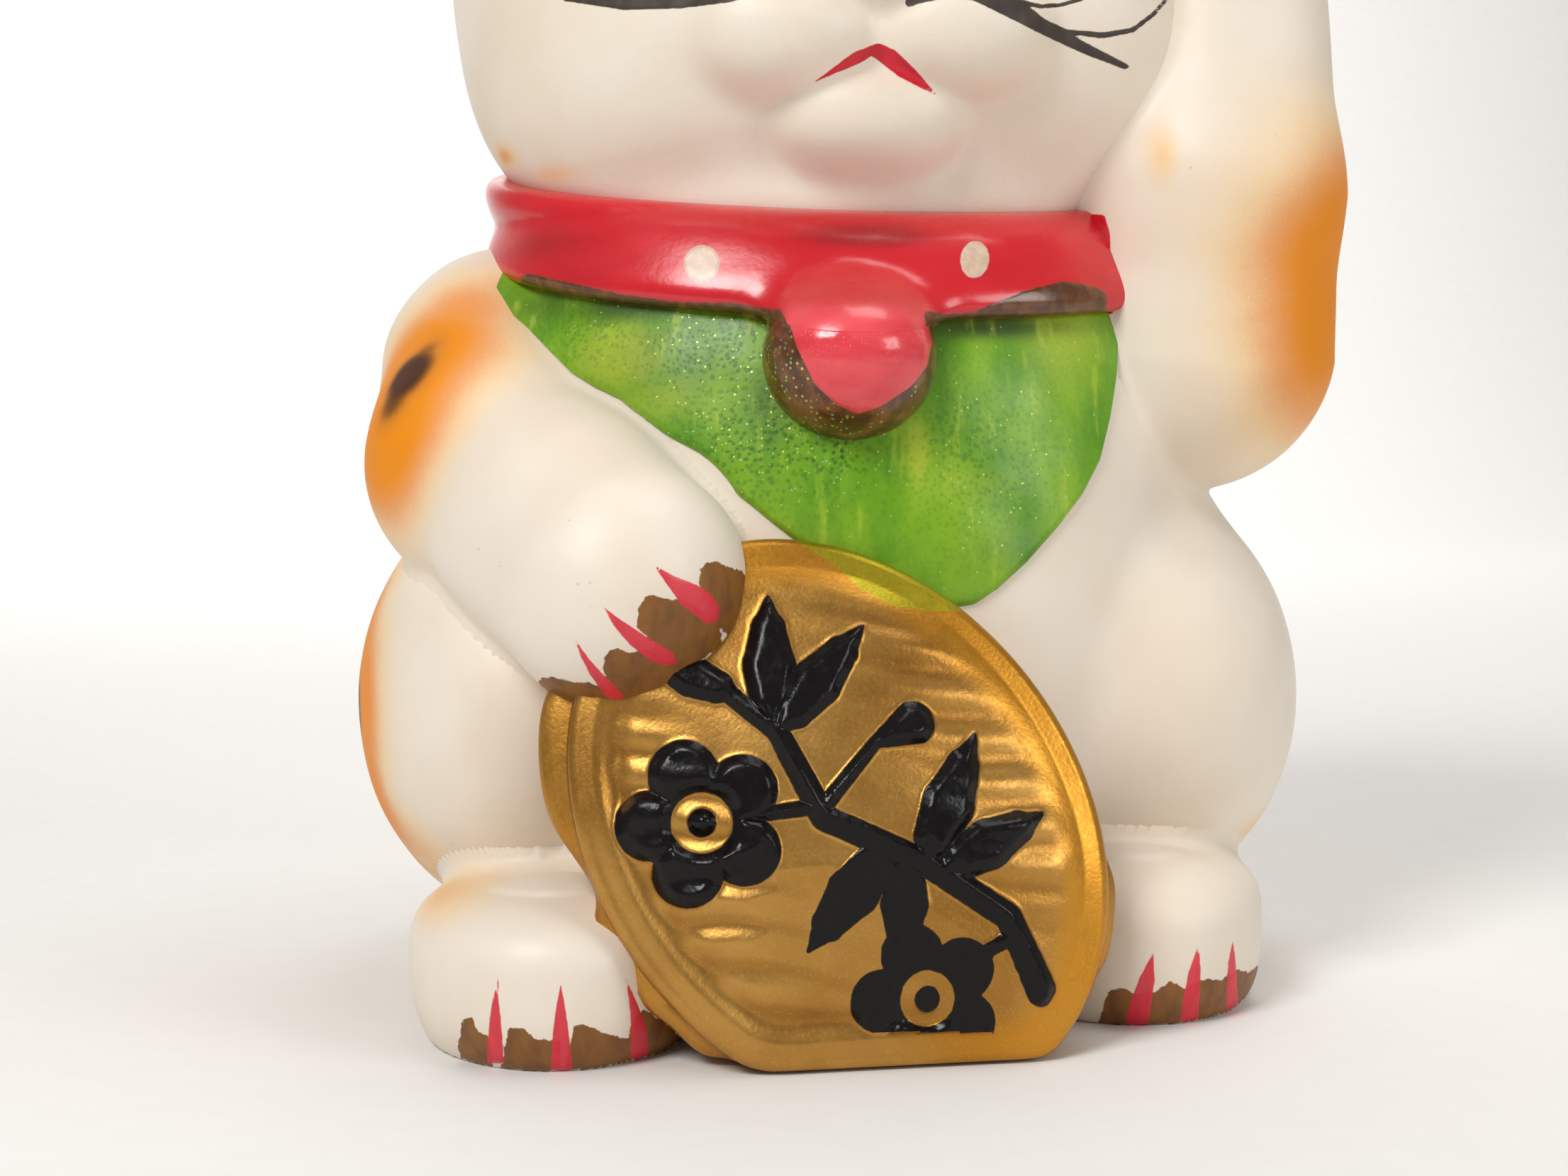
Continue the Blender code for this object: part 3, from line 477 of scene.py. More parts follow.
def use(tree, name, **values):
    """Place a shared group in a material and fill its inputs."""
    node = tree.nodes.new("ShaderNodeGroup")
    node.node_tree = bpy.data.node_groups[name]
    for key, value in values.items():
        if isinstance(value, bpy.types.NodeSocket):
            tree.links.new(value, node.inputs[key])
        else:
            node.inputs[key].default_value = value
    return node.outputs


def kept(tree, name):
    return put(tree, "ShaderNodeAttribute", attribute_name=name).outputs["Fac"]


def mixed(tree, factor, a, b, kind="RGBA"):
    """Mix of two colours or of two numbers."""
    node = put(tree, "ShaderNodeMix", data_type=kind)
    pick = {"RGBA": (0, 6, 7, 2), "FLOAT": (0, 2, 3, 0)}[kind]
    for socket, value in zip(pick, (factor, a, b)):
        if isinstance(value, bpy.types.NodeSocket):
            tree.links.new(value, node.inputs[socket])
        elif kind == "RGBA" and socket > 2:
            node.inputs[socket].default_value = (*value, 1)
        else:
            node.inputs[socket].default_value = value
    return node.outputs[pick[3]]


def mottled(tree, where, scale, detail, low, high, a, b, stretch=(1, 1, 1)):
    """Two colours mixed by noise, stepped between two of its levels."""
    return mixed(tree, ramp(tree, noise(tree, where, scale, detail, stretch), low, high), a, b)


CREAM = (0.83, 0.745, 0.635)
CREAM_DEEP = (0.77, 0.665, 0.54)
# Orange and black sprays; the orange layer also holds painted shade in seams and creases.
SPRAY_AND_SHADE_LAYERS = (("orange", (0.82, 0.26, 0.0), (0.93, 0.50, 0.03)), ("soot", (0.070, 0.020, 0.004), (0.42, 0.15, 0.02)))


def dress(tree, shader, colour, rough, height, strength, depth, **fixed):
    """Link colour, roughness and a bump of the given depth, and set other sockets to plain numbers."""
    bump = put(tree, "ShaderNodeBump", ("Height", height), ("Strength", strength), ("Distance", depth))
    for socket, source in (("Base Color", colour), ("Roughness", rough), ("Normal", bump.outputs[0])):
        tree.links.new(source, shader.inputs[socket])
    for socket, number in fixed.items():
        shader.inputs[socket.replace("_", " ")].default_value = number


def painted_clay(name, strokes=()):
    """Cream ground with airbrushed layers, the orange one also holding painted shade in seams and creases, then brushed
    ones, each brushed layer an attribute of distances.
    """
    material, tree, shader = finish(name)
    clay = use(tree, "fettled_clay")
    colour = mixed(tree, ramp(tree, clay["Mottle"], 0.35, 0.75), CREAM, CREAM_DEEP)
    colour = mixed(tree, times(tree, clay["Specks"], 0.5), colour, (0.45, 0.33, 0.22))
    rough = ramp(tree, clay["Mottle"], 0.3, 0.7, 0.38, 0.50)
    height = times(tree, clay["Height"], 0.35)
    for key, paint, thin in SPRAY_AND_SHADE_LAYERS:
        mask = use(tree, "spray_and_shade", Density=kept(tree, key))["Mask"]
        hue = mixed(tree, ramp(tree, mask, 0.25, 0.85), thin, paint)
        colour = mixed(tree, mask, colour, hue)
        rough = mixed(tree, mask, rough, 0.55, "FLOAT")
    for key, paint, deep, gloss, ragged, cover in strokes:
        brush = use(tree, "brush_edge", Distance=kept(tree, key), Ragged=ragged)
        hue = mixed(tree, ramp(tree, brush["Streaks"], 0.35, 0.7), paint, deep)
        mask = times(tree, brush["Mask"], cover)
        colour = mixed(tree, mask, colour, hue)
        rough = mixed(tree, mask, rough, gloss, "FLOAT")
        height = plus(tree, height, times(tree, brush["Height"], 0.6))
    dress(tree, shader, colour, rough, height, 0.35, 0.00012, Specular_IOR_Level=0.35)
    return material


def seated(piece, node, material):
    """Give a finished piece its material, let it stand for its node, and ride on the bank."""
    piece.data.materials.append(material)
    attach(piece, "bank")
    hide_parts(node)


seated(torso_piece, "body_shell", painted_clay("cream_torso"))


# Head, slip-cast hollow and open at the neck, with the coin slot cut through its back before firing.
# Cheeks, muzzle and chin are cast in; the mouth, nose, eyes and whiskers are brushed on freehand.
HEAD_X, HEAD_LEVEL = 2.6, 134.0


def head(p):
    """Skull and cheeks, muzzle of two puffs with a groove between them, a nose and a rounded chin."""
    d = lump(p, (HEAD_X, 1, HEAD_LEVEL), (106, 90, 90))
    for side in (-1, 1):
        d = blend(d, lump(p, (HEAD_X + side * 22, -8, 119), (54, 60, 44)), 8)
    muzzle = blend(lump(p, (-9.0, -36, 121), (27, 21.5, 17.5)), lump(p, (11.4, -36, 121), (27, 21.5, 17.5)), 1.4)
    d = blend(d, muzzle, 2.0)
    d = blend(d, lump(p, (0.8, -34.7, 111.3), (26, 19, 15.4)), 1.3)
    d = blend(d, lump(p, (1.4, -43.4, 129), (12, 10, 9)), 3)
    return blend(d, neck(p), 6) + uneven(p)


def head_rows(field, find, lower, upper):
    """Rings from the neck up to the head's middle, then tilted up to the crown, and the crown's point."""
    levels = np.linspace(NECK_LEVEL + SEAM / 2, HEAD_LEVEL, lower + 1)
    share = np.linspace(1, 0, lower + 1)
    low = find(field, *axis_rays(levels, math.tan(PITCH) * share ** 2, angles, 1.0))
    climb = np.tan(np.linspace(0, math.pi / 2, upper + 1)[1:-1])
    start, way = axis_rays(np.full(upper - 1, HEAD_LEVEL), np.zeros(upper - 1), angles, 1.0)
    way[..., 2] = climb[:, None]
    high = find(field, start, way / length(way)[..., None])
    crown = find(field, np.array([(0.0, 1.0, HEAD_LEVEL)]), np.array([(0.0, 0.0, 1.0)]))
    return np.concatenate([low, high]), crown[0]


shell, crown = head_rows(head, from_outside, 130, 64)
hollow, ceiling = head_rows(lambda p: head(p) + WALL, from_inside, 16, 16)
head_piece = skin("head", np.concatenate([hollow[::-1], shell]), first=ceiling, last=crown)

SLOT_END, SLOT_LEVEL = 2.8, 148
SLOT_FROM, SLOT_TO = 23.5, 56.0
half = 18 - SLOT_END
bow = np.linspace(-math.pi / 2, math.pi / 2, 13)
slot_x = HEAD_X + np.concatenate([half + SLOT_END * np.cos(bow), -half - SLOT_END * np.cos(bow)])
slot_z = SLOT_LEVEL + SLOT_END * np.concatenate([np.sin(bow), -np.sin(bow)])
slot_rows = np.stack([np.stack(np.broadcast_arrays(slot_x, y, slot_z), -1) for y in (SLOT_FROM, SLOT_TO)])
slot_ends = [(HEAD_X, y, SLOT_LEVEL) for y in (SLOT_FROM, SLOT_TO)]
slot_tool = skin("slot_tool", slot_rows[:, ::-1], first=slot_ends[0], last=slot_ends[1])
opened = head_piece.modifiers.new("coin_slot", "BOOLEAN")
opened.object = slot_tool
opened.operation = "DIFFERENCE"
bpy.context.view_layer.update()
cut = bpy.data.meshes.new_from_object(head_piece.evaluated_get(bpy.context.evaluated_depsgraph_get()))
head_piece.modifiers.clear()
head_piece.data = cut
bpy.data.objects.remove(slot_tool)


def stroke(q, *runs):
    """Distance in the plane to a brush line: to its nearest straight run, less its half width there."""
    d = np.full(len(q), 1e3)
    for points in runs:
        for (ax, ay, ra), (bx, by, rb) in zip(points, points[1:]):
            a, run = np.array((ax, ay)), np.array((bx - ax, by - ay))
            t = np.clip(((q - a) @ run) / (run @ run), 0, 1)
            d = np.minimum(d, length(q - a - t[:, None] * run) - ra - t * (rb - ra))
    return d


def patch(q, corners):
    """Distance in the plane to an outline's nearest side, negative inside it by the count of crossings."""
    corners = np.array(corners, float)
    d = np.full(len(q), 1e9)
    within = np.zeros(len(q), bool)
    for a, b in zip(corners, np.roll(corners, -1, 0)):
        run = b - a
        t = np.clip(((q - a) @ run) / (run @ run), 0, 1)
        d = np.minimum(d, length(q - a - t[:, None] * run))
        crosses = (a[1] > q[:, 1]) != (b[1] > q[:, 1])
        slant = 1e-9 if abs(run[1]) < 1e-9 else run[1]
        within ^= crosses & (q[:, 0] < a[0] + (q[:, 1] - a[1]) * run[0] / slant)
    return np.where(within, -d, d)


def oval(q, centre, size, tilt=0.0):
    """Rough distance in the plane to a tilted oval."""
    radii = np.array(size) / 2
    turned = np.array(((math.cos(tilt), -math.sin(tilt)), (math.sin(tilt), math.cos(tilt))))
    k = (q - np.array(centre)) @ turned / radii
    r = length(k)
    return r * (r - 1) / np.maximum(length(k / radii), 1e-9)


PIXELS = 11.5


def facing(p, n, distance, away=20.0):
    """Keep a mark only where the surface faces the viewer's side."""
    return np.where((n * (p - eye)).sum(-1) < 0, distance, away)


def brushed(piece, p, n, **marks):
    """Keep marks that are outlined in the picture: each the distance in millimetres to its nearest outline."""
    q = seen(p)
    for key, outlines in marks.items():
        note(piece, key, facing(p, n, np.minimum.reduce([patch(q, corners) for corners in outlines]) / PIXELS))


p, n = vertices(head_piece)
here = picker(p, n, head)
q = seen(p)
face = p[:, [0, 2]] - (1.4, 0)
mouth = patch(q, (
    (1147, 117), (1204, 74), (1240, 60), (1263, 71), (1296, 103), (1324, 137), (1268, 108), (1230, 79), (1211, 90),
)) / PIXELS
nose = patch(face, ((-3.4, 131.6), (0, 132.4), (3.4, 131.6), (2.2, 129.2), (0, 127.2), (-2.2, 129.2)))
whisker_right = stroke(
    q,
    (
        (1285, 3, 8), (1288, 2, 5), (1330, -6, 4), (1372, -6, 6), (1410, 4, 13), (1440, 18, 14), (1475, 40, 10),
        (1530, 68, 8), (1590, 95, 4),
    ),
    ((1450, 22, 5), (1504, 44, 3), (1554, 50, 4.5), (1597, 43, 3.5), (1626, 21, 3), (1650, -6, 2.5), (1662, -34, 1.5)),
    ((1425, 0, 4), (1469, 9, 3), (1497, 7, 3), (1529, -2, 2.5), (1556, -26, 1.5)),
)
whisker_left = stroke(
    q,
    (
        (1200, -14, 8), (1192, -14, 5), (1140, -22, 4), (1085, -20, 6), (1030, -8, 11), (960, 0, 12), (880, 2, 12),
        (800, -6, 8), (735, -34, 3),
    ),
    ((1030, -14, 5), (960, -34, 3), (890, -40, 4), (820, -56, 3), (770, -92, 1.5)),
    ((1050, -22, 4), (1000, -52, 3), (940, -70, 2.5), (890, -100, 1.5)),
)
whiskers = facing(p, n, np.minimum(whisker_right, whisker_left) / PIXELS)


def both(x, y, size, tilt=0.0):
    """Distance to the nearer of two ovals that mirror each other across the face."""
    return np.minimum(oval(face, (x, y), size, tilt), oval(face, (-x, y), size, -tilt))


def both_lines(points):
    """Distance to the nearer of two brush lines that mirror each other across the face."""
    return stroke(face, *[[(side * x, y, r) for x, y, r in points] for side in (-1, 1)])


eyeball = both(20.5, 141, (21, 15.5), 0.16)
iris = np.maximum(both(19.5, 141.4, (12.6, 13.6)), eyeball)
pupil = np.maximum(both(19.2, 141.4, (5.6, 11.0)), eyeball)
lashes = both_lines((
    (9.5, 139, 0.4), (13, 145.5, 0.9), (20, 149.4, 1.2), (27.5, 147.6, 1.1), (32, 144.5, 0.8), (35, 145.8, 0.3),
))
brow = both_lines(((11, 153.5, 0.4), (16, 156.2, 1.0), (22, 156.4, 0.9), (27, 154.2, 0.3)))
away = np.where(n[:, 1] < 0.1, 0.0, 20.0)
ink = np.minimum.reduce([np.abs(eyeball) - 0.45, lashes, pupil, np.abs(iris) - 0.25, brow]) + away
note(head_piece, "white", eyeball + away)
note(head_piece, "amber", iris + away)
note(head_piece, "ink", np.minimum(ink, whiskers))
note(head_piece, "red", np.minimum(facing(p, n, mouth), nose + away))
glint = np.minimum(*[oval(face, (x, 144.2), (2.6, 2.6)) for x in (21.2, -17.4)])
note(head_piece, "glint", glint + away)
note(head_piece, "orange", dabs(
    p,
    ((32, 4, 166), (15, 20, 12), 1.1),
    ((-28, 22, 164), (15, 16, 12), 1.0),
    # Painted shade: the next two weak orange dabs lie in the seam between cheek and raised arm.
    (here(1640, 225), (4, 6, 6), 0.45),
    (here(1570, 262), (6, 6, 2), 0.35),
    (here(712, 222), (4, 6, 1.8), 0.6),
    (here(780, 248), (7, 6, 1.4), 0.4),
))
note(head_piece, "soot", dabs(p, ((-32, 26, 166), (8, 9, 7), 1.0)))
COLLAR_END = ((1500, 300), (1558, 303), (1566, 330), (1568, 405), (1574, 440), (1560, 446), (1500, 446))
COLLAR_RED = ("scarlet", (0.62, 0.010, 0.020), (0.53, 0.006, 0.013), 0.2, 0.03, 1.0)
brushed(head_piece, p, n, scarlet=[COLLAR_END])
RED = (0.62, 0.012, 0.03)
seated(head_piece, "head_shell", painted_clay("cream_head", (
    ("white", (0.86, 0.84, 0.80), (0.82, 0.79, 0.74), 0.22, 0.04, 1.0),
    ("amber", (0.78, 0.42, 0.03), (0.62, 0.30, 0.02), 0.18, 0.04, 1.0),
    ("ink", (0.016, 0.010, 0.007), (0.045, 0.024, 0.012), 0.5, 0.05, 0.97),
    ("red", RED, (0.50, 0.01, 0.02), 0.25, 0.05, 1.0),
    ("glint", (0.92, 0.92, 0.90), (0.88, 0.88, 0.86), 0.2, 0.02, 1.0),
    COLLAR_RED,
)))


# Ears, pressed solid and luted to the head with slip.
# Each is a flattened cone with a shallow dish in front, its inside brushed red over the cream.
def limb(p, joints):
    """Chain of tapered round rods through points and radii, blended where they meet."""
    d = None
    for (a, ra), (b, rb) in zip(joints, joints[1:]):
        a, b = np.array(a, float), np.array(b, float)
        run = b - a
        t = np.clip(((p - a) @ run) / (run @ run), 0, 1)
        rod = length(p - a - t[..., None] * run) - ra - t * (rb - ra)
        d = rod if d is None else blend(d, rod, 4)
    return d


def along_rays(a, b, across, rings, caps):
    """Rays out of a straight run: fanned round each end, square across between them."""
    a, b = np.array(a, float), np.array(b, float)
    axis = (b - a) / length(b - a)
    side = np.cross(axis, (1, 0, 0))
    side /= length(side)
    fan = np.linspace(0, math.pi / 2, caps + 1)[:-1]
    tilt = np.concatenate([-fan[::-1], np.zeros(rings - 1), fan])[:, None, None]
    share = np.concatenate([np.zeros(caps), np.linspace(0, 1, rings + 1)[1:-1], np.ones(caps)])
    turn = np.arange(across)[None, :, None] * (2 * math.pi / across)
    way = np.cos(tilt) * (np.cos(turn) * side + np.sin(turn) * np.cross(axis, side)) + np.sin(tilt) * axis
    return a + share[:, None, None] * (b - a) + np.zeros_like(way), way, axis


LUTED_DEPTH = 2.0


def limb_piece(name, field, a, b, across, rings, caps, bed, reach):
    """Skin of a limb round the run a to b, filleted to the clay it is luted to and drawn out of it."""
    field = filleted(field, bed, reach)
    start, way, axis = along_rays(a, b, across, rings, caps)
    rows = from_inside(field, start, way)
    ends = from_inside(field, np.array([a, b], float), np.array([-axis, axis]))
    rows, ends = luted(rows, bed, LUTED_DEPTH), luted(ends, bed, LUTED_DEPTH)
    return skin(name, rows, first=ends[0], last=ends[1])


def ear(p, root, tip):
    """Tapered round rod, flattened to 0.55 of its depth, less a dish in its front."""
    q = root + (p - root) / np.array((1, 0.55, 1))
    cone = limb(q, [(root, 20), (tip, 6.5)]) * 0.55
    dish = lump(p, (root + tip) / 2 - (0, 7.29, 0), (17, 6, 26))
    return np.maximum(cone, -dish) + uneven(p)


for side, name, node in ((-1, "right_ear_cone", "right_ear"), (1, "left_ear_cone", "left_ear")):
    root = np.array((HEAD_X + side * 29.0, 1, 161))
    tip = root + (side * 9, 0, 26)
    piece = limb_piece(name, lambda p: ear(p, root, tip), root, tip, 128, 70, 40, head, 5)
    p, n = vertices(piece)
    lobe = patch(p[:, [0, 2]], [(root[0] + side * x, z) for x, z in (
        (-6.5, 168), (-1, 170), (5, 168.5), (9.5, 173), (10.8, 182), (8.6, 188), (5, 186), (0, 180), (-4, 174),
    )])
    note(piece, "red", lobe + np.where(n[:, 1] < 0.0, 0.0, 20.0))
    note(piece, "orange", dabs(p, (root + (side * 9, 5, 14), (11, 11, 14), 1.0)))
    note(piece, "soot", dabs(p, (root + (side * 11, 6, 24), (7, 9, 8), 0.0 if side > 0 else 1.0)))
    inside_red = ("red", RED, (0.55, 0.02, 0.03), 0.3, 0.1, 0.92)
    seated(piece, node, painted_clay("cream_" + node, (inside_red,)))


# Resting arm, cast and luted at the shoulder, its paw laid over the coin's upper rim.
# The toes are dabbed gold-brown in scallops and three claws are brushed on in thin red.
def coin_point(u, w, n):
    """Point of the coin's own frame: across, along and out of its face, which leans back 12 degrees."""
    lean, twist = math.radians(12), math.radians(36.2)
    upward = np.array((0, math.sin(lean), math.cos(lean)))
    outward = np.array((0, -math.cos(lean), math.sin(lean)))
    across = np.array((math.cos(twist), 0, 0)) + math.sin(twist) * upward
    along = math.cos(twist) * upward - np.array((math.sin(twist), 0, 0))
    u, w, n = (np.asarray(v, float)[..., None] for v in (u, w, n))
    return np.array((-6.6, -60.0, 27.7)) + u * across + w * along + n * outward


shoulder = np.array((-43.0, -5, 80))
elbow = shoulder - (2, 15, 11)
paw = coin_point(-37.5 * math.sin(math.radians(3.9)), 37.5 * math.cos(math.radians(3.9)), -4.8)
arm_joints = [(shoulder, 18), (elbow, 16.5), (elbow + (paw - elbow) * 0.55, 15), (paw, 15)]


def resting_arm(p):
    return limb(p, arm_joints) + uneven(p)


resting = limb_piece("resting_forearm", resting_arm, shoulder, paw, 176, 120, 60, torso, 2.5)
p, n = vertices(resting)
here = picker(p, n, resting_arm)
claws = (
    ((922, 797), (940, 823), (961, 853), (997, 880), (1013, 875), (1015, 857), (1006, 841), (983, 825), (954, 814)),
    (
        (852, 857), (868, 886), (890, 911), (918, 932), (940, 939), (956, 936), (949, 921), (926, 907), (901, 891),
        (876, 875),
    ),
    ((811, 902), (820, 928), (833, 953), (851, 978), (872, 996), (883, 989), (876, 977), (854, 955), (833, 932)),
)
toes = (
    ((986, 823), (988, 803), (998, 793), (1011, 792), (1031, 801), (1047, 806), (1080, 850), (1030, 900), (1000, 870)),
    (
        (898, 886), (901, 857), (910, 842), (922, 840), (947, 845), (961, 846), (1010, 870), (1020, 910), (976, 941),
        (926, 911),
    ),
    (
        (851, 946), (852, 929), (861, 917), (874, 915), (890, 921), (901, 919), (926, 912), (976, 930), (950, 1000),
        (883, 1010), (862, 975),
    ),
    (
        (758, 975), (760, 961), (767, 955), (783, 956), (808, 961), (833, 964), (862, 975), (890, 1000), (883, 1040),
        (808, 1050), (775, 1010),
    ),
)
brushed(resting, p, n, claws=claws, toes=toes)
note(resting, "orange", passes(p, (
    (here(735, 398), 6, 0.3), (here(690, 412), 9, 0.5), (here(635, 452), 12, 0.7), (here(580, 515), 15, 1.0),
    (here(536, 600), 15, 1.05), (here(518, 668), 11, 0.7),
)))
note(resting, "soot", passes(p, ((here(596, 498), 3.6, 0.6), (here(575, 530), 4.6, 1.15), (here(554, 566), 4.2, 0.7))))
PAW_MARKS = (
    ("toes", (0.24, 0.090, 0.008), (0.16, 0.055, 0.006), 0.48, 0.22, 0.98),
    ("claws", (0.72, 0.03, 0.055), (0.62, 0.02, 0.04), 0.35, 0.05, 0.97),
)
seated(resting, "resting_arm", painted_clay("cream_resting_arm", PAW_MARKS))


# Raised arm, cast and luted along the cheek, where beads of slip are left in the seam.
# Its toes bend over at the top; its outer side is airbrushed orange.
raised_joints = [
    ((45.5, -19, 83.8), 19.8), ((47.5, -23, 103), 17), ((52, -16, 146), 12.5), ((50, -24, 166), 14.5),
    ((50, -34, 158), 11.5),
]
grip = np.array((50, -29, 162.0))
slip_beads = [at(px, py, y) for px, py, y in ((1640, 188, -23.5), (1614, 230, -27.5), (1682, 698, -33))]


def raised_arm(p):
    """Upper arm, forearm and bent paw, less two slits between the toes, with beads of slip in the seam."""
    d = limb(p, raised_joints)
    for shift in (-3.6, 3.6):
        d = np.maximum(d, -lump(p, (50 + shift, -44, 160), (2.2, 12, 26)) - 0.6)
    for bead in slip_beads:
        d = blend(d, length(p - bead) - 0.9, 1.0)
    return d + uneven(p)


def nape(p):
    return np.minimum(torso(p), head(p))


raised = limb_piece("raised_forearm", raised_arm, raised_joints[0][0], grip, 176, 150, 60, nape, 2)
p, n = vertices(raised)
here = picker(p, n, raised_arm)
fingers = p[:, [0, 2]]
claws = np.minimum.reduce([
    patch(fingers - (50 + shift, 0), ((0, 163), (1, 159), (1.1, 154), (0.4, 150), (-0.4, 150), (-1.1, 154), (-1, 159)))
    for shift in (-7.2, 0, 7.2)
])
pads = np.minimum.reduce([oval(fingers, (50 + x, 150.5), (6.8, 7.5)) for x in (-9, -3, 3, 9)])
low_front = np.where((n[:, 1] < 0.2) & (p[:, 1] < -28), 0.0, 20.0)
note(raised, "claws", claws + low_front)
note(raised, "toes", pads + low_front)
note(raised, "orange", np.maximum(
    passes(p, (
        (here(1876, 205), 12, 0.25), (here(1882, 290), 17, 0.6), (here(1880, 385), 20, 1.0), (here(1872, 465), 18, 0.9),
        (here(1856, 560), 12, 0.3),
    )),
    # Painted shade: a weak orange dab in the seam against the cheek.
    dabs(p, (here(1640, 215), (2.5, 5, 5), 0.45)),
))
note(raised, "soot", np.zeros(len(p)))
brushed(raised, p, n, scarlet=[COLLAR_END])
seated(raised, "raised_arm", painted_clay("cream_raised_arm", (*PAW_MARKS, COLLAR_RED)))


# Feet, pressed in a mould and luted under the thighs, with flat soles.
# The toes' edge is dabbed gold-brown down to the table and three claws are brushed over it in red.
def foot_middle(side, y):
    return np.array((-3.1 + side * 35.95, y, 11))


def foot(p, side, y):
    """Oval in plan, boxy in profile: k takes the plan's radius and the height with a power, lower above than below."""
    q = p - foot_middle(side, y)
    half = np.array((18.25, 23.5))
    plan = q[..., :2] / half
    r = np.maximum(length(plan), 1e-9)
    deep = np.where(q[..., 2] < 0, 15.0, 9.0)
    h = np.maximum(np.abs(q[..., 2]) / deep, 1e-9)
    power = np.where(q[..., 2] < 0, 3.4, 2.5)
    k = (r ** power + h ** power) ** (1 / power)
    steep = np.hypot((r / k) ** (power - 1) * length(plan / half) / r, (h / k) ** (power - 1) / deep)
    return np.maximum((k - 1) / steep + uneven(p), -p[..., 2])


foot_marks = {
    -1: (
        (
            ((704, 1374), (693, 1420), (689, 1455), (687, 1500), (711, 1500), (708, 1455), (703, 1407)),
            ((791, 1388), (784, 1424), (779, 1465), (777, 1520), (808, 1520), (804, 1468), (798, 1424)),
            ((882, 1379), (887, 1407), (890, 1441), (890, 1500), (916, 1500), (911, 1448), (901, 1420), (890, 1396)),
        ),
        (
            ((645, 1475), (653, 1439), (660, 1435), (668, 1437), (670, 1451), (690, 1463), (700, 1540), (660, 1520)),
            ((700, 1540), (717, 1451), (725, 1449), (742, 1453), (753, 1465), (790, 1468), (790, 1560), (720, 1550)),
            ((790, 1560), (805, 1465), (810, 1448), (822, 1444), (839, 1451), (853, 1458), (895, 1468), (900, 1560)),
            ((893, 1560), (887, 1462), (892, 1438), (908, 1423), (925, 1434), (946, 1448), (975, 1480), (990, 1540)),
        ),
    ),
    1: (
        (
            ((1627, 1344), (1607, 1380), (1594, 1415), (1584, 1460), (1612, 1470), (1622, 1430), (1629, 1385)),
            ((1691, 1333), (1677, 1370), (1670, 1405), (1664, 1450), (1690, 1450), (1692, 1405), (1694, 1370)),
            ((1739, 1325), (1733, 1355), (1731, 1385), (1730, 1430), (1748, 1430), (1745, 1385), (1743, 1355)),
        ),
        (
            (
                (1540, 1480), (1562, 1400), (1585, 1393), (1600, 1402), (1630, 1398), (1650, 1385), (1672, 1395),
                (1700, 1380), (1722, 1383), (1745, 1368), (1762, 1372), (1785, 1355), (1830, 1400), (1800, 1500),
            ),
        ),
    ),
}
FEET = ((-1, -39.0), (1, -30.0))
for (side, y), name, node, crease, strength in (
    (FEET[0], "right_foot_paw", "right_foot", (625, 1262), 0.5),
    (FEET[1], "left_foot_paw", "left_foot", (1770, 1180), 0.3),
):
    middle, half_run = foot_middle(side, y), np.array((0, 5.25, 0))
    own = lambda p: foot(p, side, y)
    piece = limb_piece(name, own, middle + half_run, middle - half_run, 144, 36, 60, torso, 4.5)
    p, n = vertices(piece)
    nails, edges = foot_marks[side]
    brushed(piece, p, n, claws=nails, toes=edges)
    # Painted shade: a weak orange tint in the crease under the thigh.
    note(piece, "orange", dabs(p, (picker(p, n, own)(*crease), (12, 12, 4), strength)))
    note(piece, "soot", np.zeros(len(p)))
    seated(piece, node, painted_clay("cream_" + node, PAW_MARKS))


# Tail, rolled from a coil of clay and luted up the back.
# It is airbrushed orange, darkening to its round tip.
steps = np.linspace(0, 1, 9)[:, None]
curve = (1 - steps) ** 2 * (26, 0, 14) + 2 * steps * (1 - steps) * (2, 0, 19) + steps ** 2 * (2, 0, 40)
curve = from_outside(torso, curve, np.broadcast_to((0.0, 1.0, 0.0), curve.shape))
TAIL_RADIUS = 7.5
curve[:, 1] += 2.3 + 8 * steps[:, 0] - TAIL_RADIUS - steps[:, 0]
tail_joints = [(place, TAIL_RADIUS + s) for place, s in zip(curve, steps[:, 0])]
tail = lambda p: limb(p, tail_joints) + uneven(p)
tail_tip = curve[-1]
tail_piece = limb_piece("tail_coil", tail, curve[0], tail_tip, 112, 70, 34, torso, 3)
p, n = vertices(tail_piece)
note(tail_piece, "orange", dabs(p, (tail_tip + (0, 3, -4), (18, 18, 24), 1.1)))
note(tail_piece, "soot", dabs(p, (tail_tip + (0, 4, 4), (9, 11, 9), 1.0)))
seated(tail_piece, "tail", painted_clay("sprayed_tail"))


# Koban coin, cast as a thick domed oval with a hammered face, and luted between belly and paws.
# It is painted in bronze-gold; a raised spray of plum blossom and bamboo is piped on it in black enamel.
COIN_WIDE, COIN_LONG, COIN_THICK = 28.3, 36.0, 10.5
COIN_DROP = 27.3


def coin_outline(turn):
    """Oval's radius at each turn, blended into the level line where the coin stands on the table."""
    edge = 1 / np.sqrt((np.sin(turn) / COIN_WIDE) ** 2 + (np.cos(turn) / COIN_LONG) ** 2)
    fall = -(coin_point(np.sin(turn), np.cos(turn), 0) - coin_point(0, 0, 0))[..., 2]
    table = np.where(fall > 0.05, COIN_DROP / np.maximum(fall, 0.05), 1e3)
    return blend(edge, table, 2)


def leaf(u, w, way, long, wide):
    """Leaf-shaped stroke from its stalk: thin, full at two fifths, pointed."""
    a = math.radians(way)
    ahead = np.array((math.sin(a), math.cos(a))) * long
    widths = ((0, 0.3), (0.2, 0.8), (0.45, 1.0), (0.75, 0.65), (1, 0.08))
    return [(u + s * ahead[0], w + s * ahead[1], r * wide / 2) for s, r in widths]


